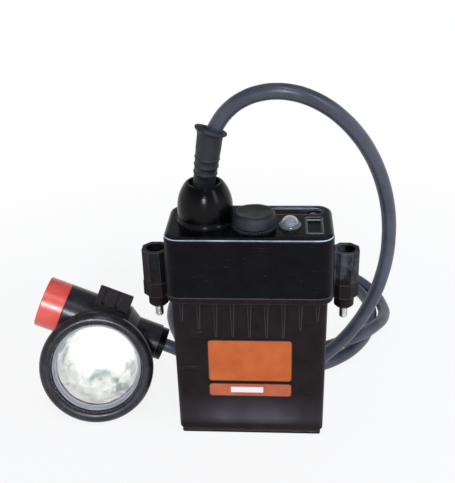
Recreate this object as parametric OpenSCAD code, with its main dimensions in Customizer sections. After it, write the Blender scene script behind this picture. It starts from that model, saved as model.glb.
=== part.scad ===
// Miner's cap lamp: a battery case with a clamped cover, a corded headpiece and the cable between them.
// Millimetres. The origin is the centre of the case's underside. The front faces -Y and +Z is up.

/* [Battery case] */
// Width of the case just under its flange
case_w = 99; // [95:1:101]
// Depth of the case just under its flange
case_d = 46; // [44:1:48]
// Height of the case up to the underside of its flange
case_h = 105.2; // [101:0.2:112]
// How much narrower each side of the case is at the foot than at the flange
case_taper = 0.5; // [0.3:0.1:1.2]
// Thickness of the case walls
case_wall = 2.6; // [2.2:0.1:3]
// Thickness of the case floor
case_floor = 3; // [2.8:0.2:4]
// Radius of the upright corners of the case
case_corner = 4.5; // [4:0.5:6]
// Height of the foot, with the bevel above its plate
foot_h = 4.5; // [4:0.5:6]
// Thickness of the square-cornered plate at the foot
foot_plate = 1.7; // [1.4:0.1:2.2]
// How far the foot's plate is set in from the walls
foot_inset = 1.6; // [1.2:0.1:1.8]
// Radius of the corners of the foot's plate
foot_corner = 1.5; // [1:0.5:3]
// Thickness of the flange that meets the cover
flange_h = 4.5; // [4:0.5:6]
// How far the flange stays inside the outline of the cover
flange_step = 0.4; // [0.2:0.1:0.8]
// Number of tapering ribs under the flange, front and back
rib_count = 9; // [5:2:9]
// Distance between the ribs
rib_pitch = 10.8; // [10:0.1:11]
// Width of a rib where it meets the flange
rib_w = 2.6; // [2:0.1:3.2]
// Width of a rib at its lower tip
rib_tip_w = 0.9; // [0.6:0.1:1.4]
// How far a rib stands out where it meets the flange
rib_out = 1.6; // [1:0.1:2.2]
// How far a rib stands out at its lower tip
rib_tip_out = 0.5; // [0.3:0.1:0.8]
// Length of the middle ribs
rib_len = 26; // [20:1:26]
// Length of the outermost rib on each side
rib_end_len = 13.6; // [10:0.2:18]
// Length of the last rib but one on each side
rib_next_len = 20; // [16:0.5:24]

/* [Battery cover] */
// Width of the cover at its top
cover_w = 105; // [103:1:108]
// Depth of the cover at its top
cover_d = 53; // [51:0.5:54]
// Height of the cover
cover_h = 41.2; // [38:0.2:46]
// How much further out each side of the cover is at its lower edge
cover_draft = 0.6; // [0.2:0.1:1]
// Thickness of the cover's side walls
cover_wall = 3; // [2.4:0.1:3.6]
// Thickness of the cover's top
cover_top = 5; // [4.6:0.2:6]
// Radius of the upright corners of the cover
cover_corner = 9.5; // [8:0.5:10]
// Radius of the rounded top edge
cover_edge = 3.2; // [2:0.1:3.6]
// Open seam between the cover and the flange
seam = 0.3; // [0.2:0.1:0.4]
// Width of the sealing strip between case and cover
gasket_w = 2; // [1.6:0.1:2.4]
// Depth of the groove that holds the sealing strip
gasket_groove = 1.8; // [1.4:0.1:2.4]

/* [Clamp lugs] */
// Distance from the cover's side to the centre of a lug
lug_out = 8.6; // [8.4:0.1:9.6]
// Width across the flats of a lug
lug_af = 16.8; // [16.4:0.1:17.6]
// Height of the lug on the cover
lug_h = 22.2; // [20:0.1:24]
// Diameter of the deep bore above the bolt head
lug_bore_d = 12.2; // [11.6:0.1:12.6]
// Thickness of material under the bolt head
lug_floor = 5.2; // [4.4:0.2:7]
// Height of the lug's ring on the case, below the flange's top
lug_ring_h = 10.5; // [9:0.1:12]
// Diameter of the narrow lower end of the lug
lug_stub_d = 13; // [12.4:0.1:14]
// Length of the narrow lower end, with its bevel
lug_stub_l = 8.4; // [7:0.1:10]
// Height of the bevel at the lower end of the lug
lug_bevel = 1.4; // [1:0.1:2]
// Width of the web from a lug to the wall
lug_web = 11; // [8:0.5:13]

/* [Cover bolts] */
// Diameter of the bolt's thread
bolt_d = 5; // [4.6:0.1:5.2]
// Length of the bolt under its head
bolt_l = 34.2; // [32:0.2:36]
// Diameter of the bolt's head
bolt_head_d = 8.5; // [8:0.1:9]
// Height of the bolt's head
bolt_head_h = 5; // [4:0.5:6]
// Width across the flats of the key socket
bolt_key = 4; // [3:0.5:4.5]
// Thickness of the washer
washer_t = 1; // [0.8:0.1:1.2]
// Diameter of the washer
washer_d = 10; // [9.4:0.1:11]
// Diameter of the threaded insert in the case lug
insert_d = 8; // [7.4:0.1:8.6]
// Length of the threaded insert
insert_l = 10; // [8:0.5:12]

/* [Cable dome and boot] */
// Place of the dome across the cover
dome_x = -28; // [-29:0.2:-26.6]
// Place of the dome from front to back
dome_y = 3.5; // [2:0.1:5]
// Diameter of the dome's upright lower part
dome_d = 35.2; // [33:0.2:35.6]
// Height of the dome above the cover
dome_h = 24.5; // [23:0.5:26]
// Height of the dome's upright part
dome_skirt = 8; // [6:0.5:10]
// Diameter of the dome's opening at the top
dome_mouth = 19; // [18.6:0.1:20]
// Thickness of the dome
dome_wall = 2.6; // [2.2:0.1:3]
// How far the small foot ring of the dome stands out
dome_foot = 0.7; // [0.4:0.1:1]
// Diameter of the boot above the dome's mouth
boot_d = 14; // [13.6:0.1:14.6]
// Diameter of the boot near its top
boot_top_d = 15.8; // [15.6:0.1:16.4]
// Diameter of the flared lip at the top of the boot
boot_lip_d = 19.9; // [19:0.1:21]
// Length of the part of the boot that leans
boot_l = 36.8; // [35:0.2:40]
// Lean of the boot to the right, in degrees
boot_lean = 9; // [7:0.5:10]
// Lean of the boot to the front, in degrees
boot_nod = 5; // [3:0.5:6]
// Height of the clamp ring inside the dome
clamp_h = 8; // [6:0.5:10]

/* [Charging socket] */
// Place of the socket across the cover
socket_x = 3.2; // [2.6:0.1:4]
// Place of the socket from front to back
socket_y = -7.2; // [-8:0.1:-6]
// Diameter of the socket's collar
socket_d = 21.6; // [20:0.1:22]
// Diameter of the socket's bore
socket_bore = 17; // [16:0.1:17.6]
// Height of the collar above the knurled rim
socket_h = 5.1; // [4.4:0.1:5.2]
// Thickness of the knurled rim
knurl_h = 1.5; // [1.2:0.1:2]
// Number of teeth on the knurled rim
knurl_count = 48; // [36:4:60]
// Diameter of a contact pin
pin_d = 2.5; // [2:0.1:2.8]
// Distance between the contact pins
pin_pitch = 9; // [8.6:0.1:10]
// Diameter of the rubber cap at its lower edge
cap_d = 27.6; // [27:0.1:28]
// Diameter of the rubber cap at its top
cap_top_d = 26.6; // [25:0.1:27]
// Height of the rubber cap
cap_h = 7.8; // [7.6:0.1:9]
// Radius of the cap's rounded top edge
cap_edge = 2; // [1:0.1:2.4]
// Thickness of the cap's top
cap_top = 2.4; // [2:0.1:2.6]

/* [Indicator] */
// Place of the indicator across the cover
lens_x = 25.3; // [24.4:0.1:26]
// Place of the indicator from front to back
lens_y = -6.6; // [-7:0.1:-4]
// Diameter of the indicator's flange
lens_d = 13.8; // [13:0.1:14.2]
// Diameter of the indicator's dome
lens_dome_d = 11; // [10:0.1:11.6]
// Height of the indicator above the cover
lens_h = 6.4; // [6:0.1:7]
// Diameter of the indicator's light
led_d = 5; // [4.6:0.1:5.4]

/* [Recesses in the cover] */
// Width of the long groove at the back of the top
groove_w = 12.6; // [12:0.1:13]
// Place of the groove from front to back
groove_y = 16.7; // [16.2:0.1:17]
// Left end of the groove
groove_x0 = -4; // [-5:0.5:4]
// Right end of the groove
groove_x1 = 47; // [45:0.5:48]
// Depth of the groove
groove_depth = 2.6; // [2:0.1:3]
// Diameter of the sealing screw's head
seal_screw_d = 6; // [5.4:0.1:6.6]
// Width of the square-cornered pocket
pocket_w = 8.8; // [8:0.2:10]
// Length of the pocket
pocket_l = 22.4; // [20:0.2:23]
// Depth of the pocket
pocket_depth = 1.6; // [1:0.1:2]
// Distance of the pocket's centre from the right side
pocket_in = 12.1; // [11.4:0.1:13]
// Place of the pocket from front to back
pocket_y = -6.5; // [-7:0.1:-5]
// Width of the raised lip round the pocket
pocket_lip = 0.9; // [0.6:0.1:1.2]
// Height of the raised lip round the pocket
pocket_rise = 0.5; // [0.3:0.1:0.8]

/* [Plates] */
// Width of the plates on the front
plate_w = 55.6; // [52:0.2:57]
// Height of the upper plate
plate_h = 32.8; // [30:0.2:34]
// Height of the lower plate
serial_h = 11; // [10:0.2:12]
// Gap between the plates
plate_gap = 1.3; // [1:0.1:2]
// Distance of the upper plate's top edge below the flange, in mm
plate_drop = 27.8; // [26.4:0.2:29]
// Thickness of the plates
plate_t = 0.6; // [0.4:0.1:0.8]
// Radius of the plates' corners
plate_corner = 2.4; // [1.5:0.1:3]

/* [Cells and board] */
// Number of cells in the row
cell_count = 4; // [3:1:4]
// Diameter of a cell
cell_d = 18.4; // [18:0.1:18.6]
// Length of a cell
cell_l = 65; // [60:1:66]
// Thickness of the cell holders
holder_h = 7; // [6:0.5:8]
// Free space between a cell and its holder
cell_gap = 0.2; // [0.1:0.05:0.3]
// Thickness of the joining strips
strip_t = 0.3; // [0.2:0.05:0.4]
// Thickness of the control board
board_t = 1.6; // [1.2:0.1:2]
// Height of the posts that carry the board
post_h = 12; // [9:0.5:14]

/* [Headpiece] */
// Place of the middle of the bezel across the lamp
head_x = -108.6; // [-112:0.2:-108]
// Place of the middle of the bezel from front to back
head_y = -0.6; // [-4:0.2:2]
// How far the light points up, in degrees
head_tilt = 18.5; // [16:0.5:20]
// How far the light points to the right, in degrees
head_turn = 7.6; // [6:0.2:9]
// How far the switch tube is rolled about the light's axis, in degrees
head_roll = 24; // [22:0.5:26]
// Outer radius of the bezel
bezel_r = 39.8; // [39:0.1:41]
// Radius of the bezel's rounded outer edge
bezel_edge = 5; // [4:0.1:5.4]
// Radius of the bezel's front opening
bezel_mouth = 32.2; // [31.6:0.1:32.6]
// Radius of the opening at the bottom of the bezel's inner cone
bezel_throat = 30; // [29.6:0.1:30.6]
// Distance from the bezel's widest circle back to its shoulder
shoulder_f = 3; // [2.4:0.2:3.6]
// Length of the bezel behind its widest circle
bezel_back = 13; // [12:0.2:14]
// Radius of the lens and of the thread that the bezel screws on
seat_r = 32.6; // [32:0.1:33]
// Thickness of the lens
glass_t = 2.8; // [2.2:0.1:3.2]
// Thickness of the lens gasket
glass_gasket_t = 1.5; // [1:0.1:1.8]
// Radius of the gasket's opening
glass_gasket_r = 28.6; // [28.2:0.1:29.2]
// Depth of the housing's back behind the bezel's widest circle
bowl_back = 45; // [44:0.5:48]
// Outer radius of the housing at its front
bowl_r = 34.6; // [34.2:0.1:35]
// Outer radius of the housing at its back
bowl_back_r = 24.6; // [23:0.1:24.8]
// Thickness of the housing's walls
bowl_wall = 2.6; // [2.2:0.1:3]
// Radius of the reflector at its rim
reflector_r = 28.4; // [27.6:0.1:28.6]
// Depth of the reflector
reflector_depth = 25.5; // [24:0.5:27]
// Radius of the hole at the bottom of the reflector
reflector_hole = 10.4; // [10.2:0.2:12]
// Thickness of the reflector's shell
reflector_t = 1.2; // [1:0.1:1.5]
// Radius of the light-emitting dome
emitter_r = 10; // [8.6:0.1:10]
// Height of the light-emitting dome
emitter_h = 6; // [4:0.5:7]
// Thickness of the emitter's board
emitter_board_t = 1.6; // [1.2:0.1:2]

/* [Switch tube] */
// Distance of the tube's axis behind the bezel's widest circle
tube_f = 26; // [25:0.5:27]
// Height of the tube's axis above the light's axis
tube_up = 25.6; // [25:0.2:27]
// Outer radius of the tube and of the knob
tube_r = 18.3; // [17.6:0.1:19]
// Distance from the light's axis to the knob's outer end
knob_end = 52.6; // [51:0.2:55]
// Length of the knob
knob_l = 16.2; // [15:0.2:18]
// Gap between the knob and the tube
knob_gap = 0.3; // [0.2:0.05:0.4]
// Radius of the knob's rounded edges
knob_edge = 0.8; // [0.4:0.1:1.2]
// Thickness of the wall that carries the switch shaft
tube_end_wall = 4; // [3:0.2:5]
// Radius of the switch shaft
shaft_r = 5; // [4.6:0.1:5.4]
// Running clearance of the switch shaft in its bore
shaft_fit = 0.06; // [0.04:0.01:0.09]
// Length of the tube's narrow end, to the right of the light's axis
neck_end = 35.1; // [34:0.1:37]
// Radius of the tube's narrow end
neck_r = 13; // [12.6:0.1:14]

/* [Gland] */
// Radius of the gland nut's collar
gland_r = 11.9; // [11.4:0.1:12.4]
// Thickness of the gland nut's collar
gland_t = 5; // [4:0.2:6]
// Number of flats on the gland nut's collar
gland_flats = 24; // [16:2:30]
// Radius of the gland nut's thread
gland_thread_r = 9.4; // [8.8:0.1:9.8]
// Length of the gland nut's thread
gland_thread_l = 7; // [6:0.5:9]
// Length of the rubber bush in the gland
bush_l = 5; // [4:0.5:7]

/* [Cap hook] */
// Width of the hook along the tube
hook_w = 24.6; // [24:0.2:27]
// Left end of the hook, from the light's axis
hook_x0 = -17.4; // [-18:0.2:-16]
// Height of the hook's roof above the tube's axis, at its front edge
hook_up = 28; // [27:0.2:29]
// How steeply the roof falls to the back, in mm for each mm
hook_fall = 0.2; // [0.14:0.02:0.22]
// Thickness of the hook's bridge
hook_t = 3.2; // [2.8:0.2:3.6]
// Distance of the hook's front face behind the bezel's widest circle
hook_front = 14; // [13.6:0.2:16]
// Free gap between the housing's back and the hook's tongue
hook_gap = 7; // [6.6:0.1:8]
// Thickness of the tongue
tongue_t = 3; // [2.4:0.1:3.6]
// Length of the tongue below the bridge
tongue_l = 17; // [15:0.5:20]
// Diameter of the hook screws' heads
hook_screw_d = 5.4; // [5:0.1:6]

/* [Cable] */
// Diameter of the cable
cable_d = 9.5; // [9.3:0.1:9.6]
// Free space between the cable and a bore that it goes through
cable_fit = 0.2; // [0.1:0.05:0.3]
// Radius of the outer loop on the ground
loop_outer = 89.8; // [89.4:0.1:90.4]
// Radius of the inner loop on the ground
loop_inner = 79.3; // [78.6:0.1:79.5]
// Place of the loops' centre across the lamp
loop_x = 16.8; // [16.4:0.2:17.4]
// Place of the loops' centre behind the case
loop_y = 136.6; // [136:0.2:137.4]
// Height that one strand climbs to cross the other
loop_lift = 10.6; // [10.4:0.1:12]

/* [Hidden] */
$fn = 96;
HULL_FN = 40;
EPS = 0.01;
SNUG = 0.1;

// The colours of the pieces.
BLACK = "#1a1a1c";
CASE_BLACK = "#241e1f";
RUBBER = "#2b2c2f";
CABLE_GREY = "#2e3440";
ZINC = "#c9c6c0";
BRASS = "#c8a35a";
ORANGE = "#d2693a";
RED = "#e5453a";
CREAM = "#d8d4c4";
CELL_BLUE = "#3a7fb8";
BOARD_GREEN = "#2f6b3a";
PINK_GREY = "#9c7f7a";
CLEAR = [0.9, 0.94, 0.95, 0.35];
SILVER = "#d9dcdf";

// Case and cover.
flange_top = case_h + flange_h;
cover_z0 = flange_top + seam;
top_z = cover_z0 + cover_h;
cover_low_w = cover_w + 2 * cover_draft;
cover_low_d = cover_d + 2 * cover_draft;
flange_w = cover_low_w - 2 * flange_step;
flange_d = cover_low_d - 2 * flange_step;
flange_under = 0.8;
foot_lip = 0.5;
wall_lean = atan(case_taper / (case_h - foot_h));
gasket_mid = 2.4;

// Lugs, bolts and inserts stand on one axis on each side.
lug_x = cover_w / 2 + lug_out;
head_seat = cover_z0 + lug_floor;
bolt_under_head = head_seat + washer_t;
bolt_clear = 0.3;
thread_fit = 0.06;
bolt_tip = 0.7;
lug_ring_z = flange_top - lug_ring_h;
lug_end = lug_ring_z - lug_stub_l;
ring_step = 0.8;
bolt_free = lug_end - bolt_under_head + bolt_l;

// Dome, clamp and boot share one upright axis up to the boot's foot.
clamp_r = dome_d / 2 - dome_wall - 2;
boot_z = top_z + clamp_h;
boot_foot_r = dome_mouth / 2 - 0.9;
boot_foot_h = 8;
boot_pivot = 17;
boot_seat = 11;
boot_rings = [7, 12, 17];
core_hole_r = 4;

// Charging socket.
socket_thread_r = socket_bore / 2 + 1.4;
knurl_r = cap_d / 2 + 0.1;
knurl_tooth = 0.7;
collar_z = top_z + knurl_h;
socket_floor_z = top_z - 2;
cap_z = collar_z + seam;
cap_fit = 0.3;
pin_rise = 4.5;

// Upper plate's top edge.
plate_top = case_h - plate_drop;

// Groove, seal screw and pocket.
groove_end_x = groove_x1 - groove_w / 2;
seal_seat_r = groove_w / 2 - 0.9;
seal_seat_h = 1.6;
pocket_x = cover_w / 2 - pocket_in;

// Cells stand between two holders, and the board stands on posts.
cell_z = case_floor + 3.5;
holder_pocket = 3.5;
holder_gap = 1.7;
holder_edge = 2;
holder_w = case_w - 2 * (case_taper + case_wall + holder_gap);
holder_d = cell_d + 12;
cell_pitch = (holder_w - 2 * holder_edge - cell_d) / (cell_count - 1);
upper_z = cell_z + cell_l - holder_pocket;
board_z = upper_z + holder_h + post_h;
board_w = case_w - 2 * case_wall - 8;
board_d = case_d - 12;
chip_w = board_d * 0.4;
choke_w = board_d * 0.35;
post_r = 2.5;
strip_l = cell_pitch - 6;
strip_w = 5;

// Headpiece: its own frame has the light pointing to -Y, the switch tube along X above it.
bezel_mid = bezel_r - bezel_edge;
head_z = bezel_mid * cos(head_tilt) + bezel_edge;
glass_front = -shoulder_f - glass_gasket_t;
glass_back = glass_front - glass_t;
spigot_front = glass_back - reflector_t;
bowl_front = -bezel_back - knob_gap;
cavity_back = -bowl_back + bowl_wall;
bowl_bulge = 2.2;
reflector_front = glass_back;
reflector_back = reflector_front - reflector_depth;
bezel_back_r = seat_r + 2.4;
sink_front = reflector_back - emitter_board_t - 0.4;
sink_step = 2.5;
sink_foot_r = bowl_back_r - bowl_wall - 3;
board_r = reflector_r / 2;
bowl_foot = 6;
tube_left = -knob_end + knob_l + knob_gap;
tube_bore_r = tube_r - bowl_wall;
bay_start = tube_left + tube_end_wall;
seal_t = 1.6;
seal_w = 2;
switch_bay_end = -21.5;
neck_start = 17;
cone_start = 9;
knob_floor = 4;
rotor_r = 8;
rotor_finger = 9.8;
rotor_t = 3;
contact_t = 4;
hook_notch = 2.4;
hook_screw_x = [hook_x0 + 9.6, hook_x0 + hook_w - 6];
tongue_front = bowl_back + hook_gap;
screw_up = hook_up - hook_fall * (tube_f - hook_front);
screw_sink = 3;
screw_head_h = 1.8;
cable_bore_r = cable_d / 2 + cable_fit;
lead_inside = 20;
bush_x = neck_end - gland_thread_l - bush_l;

// Cable on the ground: two turns, which swap places where one crosses over the other.
loop_swap = -45.7;
loop_swap_half = 39;
loop_full = 9;
loop_zero = 57;
loop_from = -160;
loop_to = -805;
loop_rings = 24;
loop_sides = 6;
cable_sides = 8;

// The cable's free way from the boot to the ground, behind the case and out to the loops.
ARC_ROUTE = [
    [-24.7, 1.6, 197.2], [-23.4, 0.7, 202.3], [-21.7, -0.3, 207.6], [-18.7, -1.8, 214.2],
    [-11.2, -5, 224.7], [-1.1, -8.2, 232.5], [8.8, -10.2, 236.2], [18, -11.2, 237.2], [26, -11.3, 236.3],
    [34, -10.5, 233.8], [45, -7.9, 227.6], [54.8, -3.5, 219], [64.8, 3.1, 206.9], [73.4, 10.3, 193],
    [80, 16.7, 179], [85.2, 22, 164.4], [88.5, 25.7, 151.6], [90.7, 28.8, 138.8], [91.8, 31.7, 124.3],
    [91.7, 34.1, 110.2], [89.7, 36.7, 93.3], [85.7, 38.9, 76.3], [81.3, 40.2, 64], [75.5, 41.2, 51.9],
    [65.7, 41.7, 36.9], [53.7, 40.8, 24.3], [41.9, 38.9, 15.4], [29.7, 36.6, 9.3], [17, 34.4, 5.9],
    [3.1, 33.1, 4.9], [-12, 33.3, 4.9], [-25, 35.8, 4.8], [-36.6, 42.3, 4.8], [-45.8, 52.8, 4.8],
    [-52.2, 66.4, 4.8]
];
// The cable's way from the loops up to the headpiece's gland.
LEAD_ROUTE = [[-12, 44.2, 7.3], [-22, 42.8, 11.5], [-34, 38.8, 18], [-46, 34.9, 25]];

// ---- Shapes used more than once ----

module up(z) {
    translate([0, 0, z]) children();
}

// A flat rectangle with round corners, w wide and d deep about the origin.
module round_rect(w, d, r) {
    square([w - 2 * r, d], center = true);
    square([w, d - 2 * r], center = true);
    for (x = [-1, 1], y = [-1, 1]) translate([x * (w / 2 - r), y * (d / 2 - r)]) circle(r);
}

module round_slab(w, d, r, h) {
    linear_extrude(h) round_rect(w, d, r);
}

// Four thin discs at the corners of a rectangle: the ends of a hull with round upright corners.
module corner_posts(w, d, r, h) {
    for (x = [-1, 1], y = [-1, 1])
        translate([x * (w / 2 - r), y * (d / 2 - r), 0]) cylinder(r = r, h = h, $fn = HULL_FN);
}

// A disc whose upper edge is rounded.
module edge_puck(r, h, e) {
    rotate_extrude($fn = HULL_FN)
        polygon(concat([[0, 0], [r, 0]], arc_points(r - e, h - e, e, 0, 90, 4), [[0, h]]));
}

module ring(r_out, r_in, h) {
    difference() {
        cylinder(r = r_out, h = h);
        translate([0, 0, -1]) cylinder(r = r_in, h = h + 2);
    }
}

module both_lugs() {
    for (side = [-1, 1]) translate([side * lug_x, 0, 0]) children();
}

function arc_points(cx, cy, r, a0, a1, n) =
    [for (i = [0:n]) let (a = a0 + (a1 - a0) * i / n) [cx + r * cos(a), cy + r * sin(a)]];

// ---- Battery case ----

// A rib is seen as a narrow wedge from the front and as a long wedge from the side.
module rib(len) {
    root = case_d / 2 - 2;
    top = case_h + 1;
    tip = case_h - len;
    tip_out = case_d / 2 - sunk_at(tip) + rib_tip_out;
    intersection() {
        rotate([90, 0, 0]) linear_extrude(case_d)
            polygon([[-rib_w / 2, top], [-rib_tip_w / 2, tip], [rib_tip_w / 2, tip], [rib_w / 2, top]]);
        rotate([90, 0, -90]) linear_extrude(rib_w * 2, center = true)
            polygon([[root, top], [root, tip], [tip_out, tip], [case_d / 2 + rib_out, top]]);
    }
}

// How far the leaning wall has moved in at height z.
function sunk_at(z) = case_taper * (case_h - z) / (case_h - foot_h);

// The length of a rib, by its number from the middle one.
function rib_length(i) =
    let (from_end = (rib_count - 1) / 2 - abs(i))
    from_end == 0 ? rib_end_len : from_end == 1 ? rib_next_len : rib_len;

// An eight-sided bar with w across its flats.
module eight_sided(w, h) {
    rotate(22.5) cylinder(d = w / cos(22.5), h = h, $fn = 8);
}

module case_lug() {
    r = lug_stub_d / 2;
    up(lug_ring_z + ring_step) eight_sided(lug_af + ring_step, lug_ring_h - ring_step);
    up(lug_ring_z) eight_sided(lug_af - ring_step, ring_step + 1);
    up(lug_end) rotate_extrude()
        polygon([[0, 0], [r - lug_bevel, 0], [r, lug_bevel], [r, lug_stub_l + 1], [0, lug_stub_l + 1]]);
}

module battery_case() {
    low_w = case_w - 2 * case_taper;
    low_d = case_d - 2 * case_taper;
    inner_r = case_corner - case_wall;
    bevel_in = foot_inset + foot_lip;
    color(CASE_BLACK) difference() {
        union() {
            hull() {
                up(foot_h) corner_posts(low_w, low_d, case_corner, EPS);
                up(case_h) corner_posts(case_w, case_d, case_corner, 1);
            }
            hull() {
                up(foot_plate - EPS) corner_posts(low_w - 2 * bevel_in, low_d - 2 * bevel_in, foot_corner, EPS);
                up(foot_h) corner_posts(low_w, low_d, case_corner, EPS);
            }
            round_slab(low_w - 2 * foot_inset, low_d - 2 * foot_inset, foot_corner, foot_plate);
            hull() {
                up(case_h) corner_posts(flange_w - 2 * flange_under, flange_d - 2 * flange_under,
                                        cover_corner - flange_under, EPS);
                up(case_h + flange_under)
                    corner_posts(flange_w, flange_d, cover_corner, flange_h - flange_under);
            }
            for (i = [-(rib_count - 1) / 2:(rib_count - 1) / 2], turn = [0, 180])
                rotate(turn) translate([i * rib_pitch, 0, 0]) rib(rib_length(i));
            both_lugs() case_lug();
            lug_webs(case_w / 2 - 1, lug_ring_z, lug_ring_h);
        }
        hull() {
            up(case_floor) corner_posts(low_w - 2 * case_wall, low_d - 2 * case_wall, inner_r, EPS);
            up(flange_top) corner_posts(case_w - 2 * case_wall, case_d - 2 * case_wall, inner_r, 1);
        }
        up(flange_top - gasket_groove) gasket_path(gasket_w + 2 * SNUG, gasket_groove + 1);
        both_lugs() {
            up(lug_end - 1) cylinder(r = bolt_d / 2 + bolt_clear, h = flange_top);
            up(lug_end + lug_bevel) cylinder(d = insert_d, h = insert_l);
        }
    }
}

// The webs that join the lugs to a wall whose side is at x.
module lug_webs(x, z, h) {
    for (side = [0, 180]) rotate(side) translate([x, -lug_web / 2, z]) cube([lug_x - x, lug_web, h]);
}

// ---- Sealing strip between case and cover ----

module gasket_path(w, h) {
    mid_w = flange_w - 2 * gasket_mid;
    mid_d = flange_d - 2 * gasket_mid;
    mid_r = cover_corner - gasket_mid;
    linear_extrude(h) difference() {
        round_rect(mid_w + w, mid_d + w, mid_r + w / 2);
        round_rect(mid_w - w, mid_d - w, mid_r - w / 2);
    }
}

module case_gasket() {
    color(RUBBER) up(flange_top - gasket_groove) gasket_path(gasket_w, gasket_groove + seam);
}

// ---- Battery cover ----

// The long groove in the top, from its left end to its right end.
module top_groove() {
    left = groove_x0 + groove_w / 2;
    translate([0, groove_y, top_z - groove_depth]) {
        for (x = [left, groove_end_x]) translate([x, 0, 0]) cylinder(d = groove_w, h = groove_depth + 1);
        translate([left, -groove_w / 2, 0]) cube([groove_end_x - left, groove_w, groove_depth + 1]);
    }
}

// A hole through the cover's top at x, y.
module top_hole(x, y, r) {
    translate([x, y, top_z - cover_top - 1]) cylinder(r = r, h = cover_top + 2);
}

// The cover's outer form: a block that is a little wider below, with a soft upper edge.
module cover_form() {
    hull() {
        up(cover_z0) corner_posts(cover_low_w, cover_low_d, cover_corner, EPS);
        for (x = [-1, 1], y = [-1, 1])
            translate([x * (cover_w / 2 - cover_corner), y * (cover_d / 2 - cover_corner), 0])
                up(top_z - 2 * cover_edge) edge_puck(cover_corner, 2 * cover_edge, cover_edge);
    }
}

module battery_cover() {
    inner_r = cover_corner - cover_wall;
    color(BLACK) difference() {
        union() {
            cover_form();
            translate([pocket_x, pocket_y, top_z - 1])
                round_slab(pocket_w + 2 * pocket_lip, pocket_l + 2 * pocket_lip, 1, 1 + pocket_rise);
        }
        hull() {
            up(cover_z0 - 1)
                corner_posts(cover_low_w - 2 * cover_wall, cover_low_d - 2 * cover_wall, inner_r, EPS);
            up(top_z - cover_top)
                corner_posts(cover_w - 2 * cover_wall, cover_d - 2 * cover_wall, inner_r, EPS);
        }
        top_groove();
        translate([groove_end_x, groove_y, top_z - groove_depth - seal_seat_h])
            cylinder(r1 = seal_screw_d / 2 + SNUG, r2 = seal_seat_r, h = seal_seat_h + EPS);
        translate([pocket_x, pocket_y, top_z - pocket_depth])
            round_slab(pocket_w, pocket_l, 0.6, pocket_depth + 2);
        top_hole(groove_end_x, groove_y, seal_screw_d / 4 + SNUG);
        top_hole(socket_x, socket_y, socket_thread_r + SNUG);
        top_hole(dome_x, dome_y, core_hole_r);
        top_hole(lens_x, lens_y, led_d / 2 + SNUG);
    }
}

// The lugs at the cover's ends: each is a bar with a well for a bolt's head, and a web joins it to the cover.
module cover_lugs() {
    color(BLACK) difference() {
        union() {
            both_lugs() up(cover_z0) eight_sided(lug_af, lug_h);
            lug_webs(cover_w / 2 - cover_wall, cover_z0, lug_h);
        }
        cover_form();
        both_lugs() {
            up(head_seat) cylinder(d = lug_bore_d, h = lug_h);
            up(cover_z0 - 1) cylinder(r = bolt_d / 2 + bolt_clear, h = lug_h);
        }
    }
}

// ---- Bolts that clamp the cover, with their washers and threaded inserts ----

module cover_bolts() {
    r = bolt_d / 2;
    relief = bolt_free - 0.4;
    color(ZINC) both_lugs() up(bolt_under_head) difference() {
        union() {
            up(-bolt_l) rotate_extrude()
                polygon([[0, 0], [r - bolt_tip, 0], [r, bolt_tip], [r, relief], [r - 0.3, relief],
                         [r - 0.3, relief + 1.2], [r, relief + 1.2], [r, bolt_l + 1], [0, bolt_l + 1]]);
            cylinder(d = bolt_head_d, h = bolt_head_h);
        }
        up(bolt_head_h / 2) cylinder(d = bolt_key / cos(30), h = bolt_head_h, $fn = 6);
    }
}

module bolt_washers() {
    color(ZINC) both_lugs() up(head_seat) ring(washer_d / 2, bolt_d / 2 + SNUG, washer_t);
}

module bolt_inserts() {
    color(BRASS) both_lugs() up(lug_end + lug_bevel)
        ring(insert_d / 2 - EPS, bolt_d / 2 + thread_fit, insert_l);
}

// ---- Cells, holders, strips and board ----

function cell_x(i) = (i - (cell_count - 1) / 2) * cell_pitch;

module battery_cells() {
    color(CELL_BLUE) for (i = [0:cell_count - 1])
        translate([cell_x(i), 0, cell_z]) cylinder(d = cell_d, h = cell_l);
}

// A holder with a pocket for each cell. A strip joins the cell numbered first to the next one.
module cell_holder(pocket_z, first) {
    difference() {
        round_slab(holder_w, holder_d, 3, holder_h);
        for (i = [0:cell_count - 1]) translate([cell_x(i), 0, 0]) {
            up(pocket_z) cylinder(r = cell_d / 2 + cell_gap, h = holder_h);
            up(-1) cylinder(r = 4, h = holder_h + 2);
        }
        for (i = [first:2:cell_count - 2]) translate([cell_x(i + 0.5), 0, pocket_z])
            cube([strip_l + 2 * SNUG, strip_w + 2 * SNUG, 2 * (strip_t + SNUG)], center = true);
    }
}

module lower_cell_holder() {
    color(CREAM) up(case_floor) cell_holder(cell_z - case_floor, 1);
}

module upper_cell_holder() {
    color(CREAM) up(upper_z) {
        up(holder_h) mirror([0, 0, 1]) cell_holder(holder_h - holder_pocket, 0);
        for (x = [-1, 1], y = [-1, 1])
            translate([x * (holder_w / 2 - 4), y * (holder_d / 2 - 4), holder_h - 1])
                cylinder(r = post_r, h = post_h + 1);
    }
}

module cell_strips() {
    color(SILVER) for (i = [0:cell_count - 2]) {
        z = i % 2 == 0 ? cell_z + cell_l : cell_z - strip_t;
        translate([cell_x(i + 0.5), 0, z + strip_t / 2]) cube([strip_l, strip_w, strip_t], center = true);
    }
}

module control_board() {
    color(BOARD_GREEN) up(board_z) {
        round_slab(board_w, board_d, 2, board_t);
        translate([-board_w / 4, 0, board_t - EPS]) round_slab(chip_w, chip_w, 1, board_t);
        translate([board_w / 4, 0, board_t - EPS]) round_slab(choke_w, choke_w, choke_w / 3, choke_w / 2);
    }
}

// ---- Cable dome, clamp and boot ----

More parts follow.
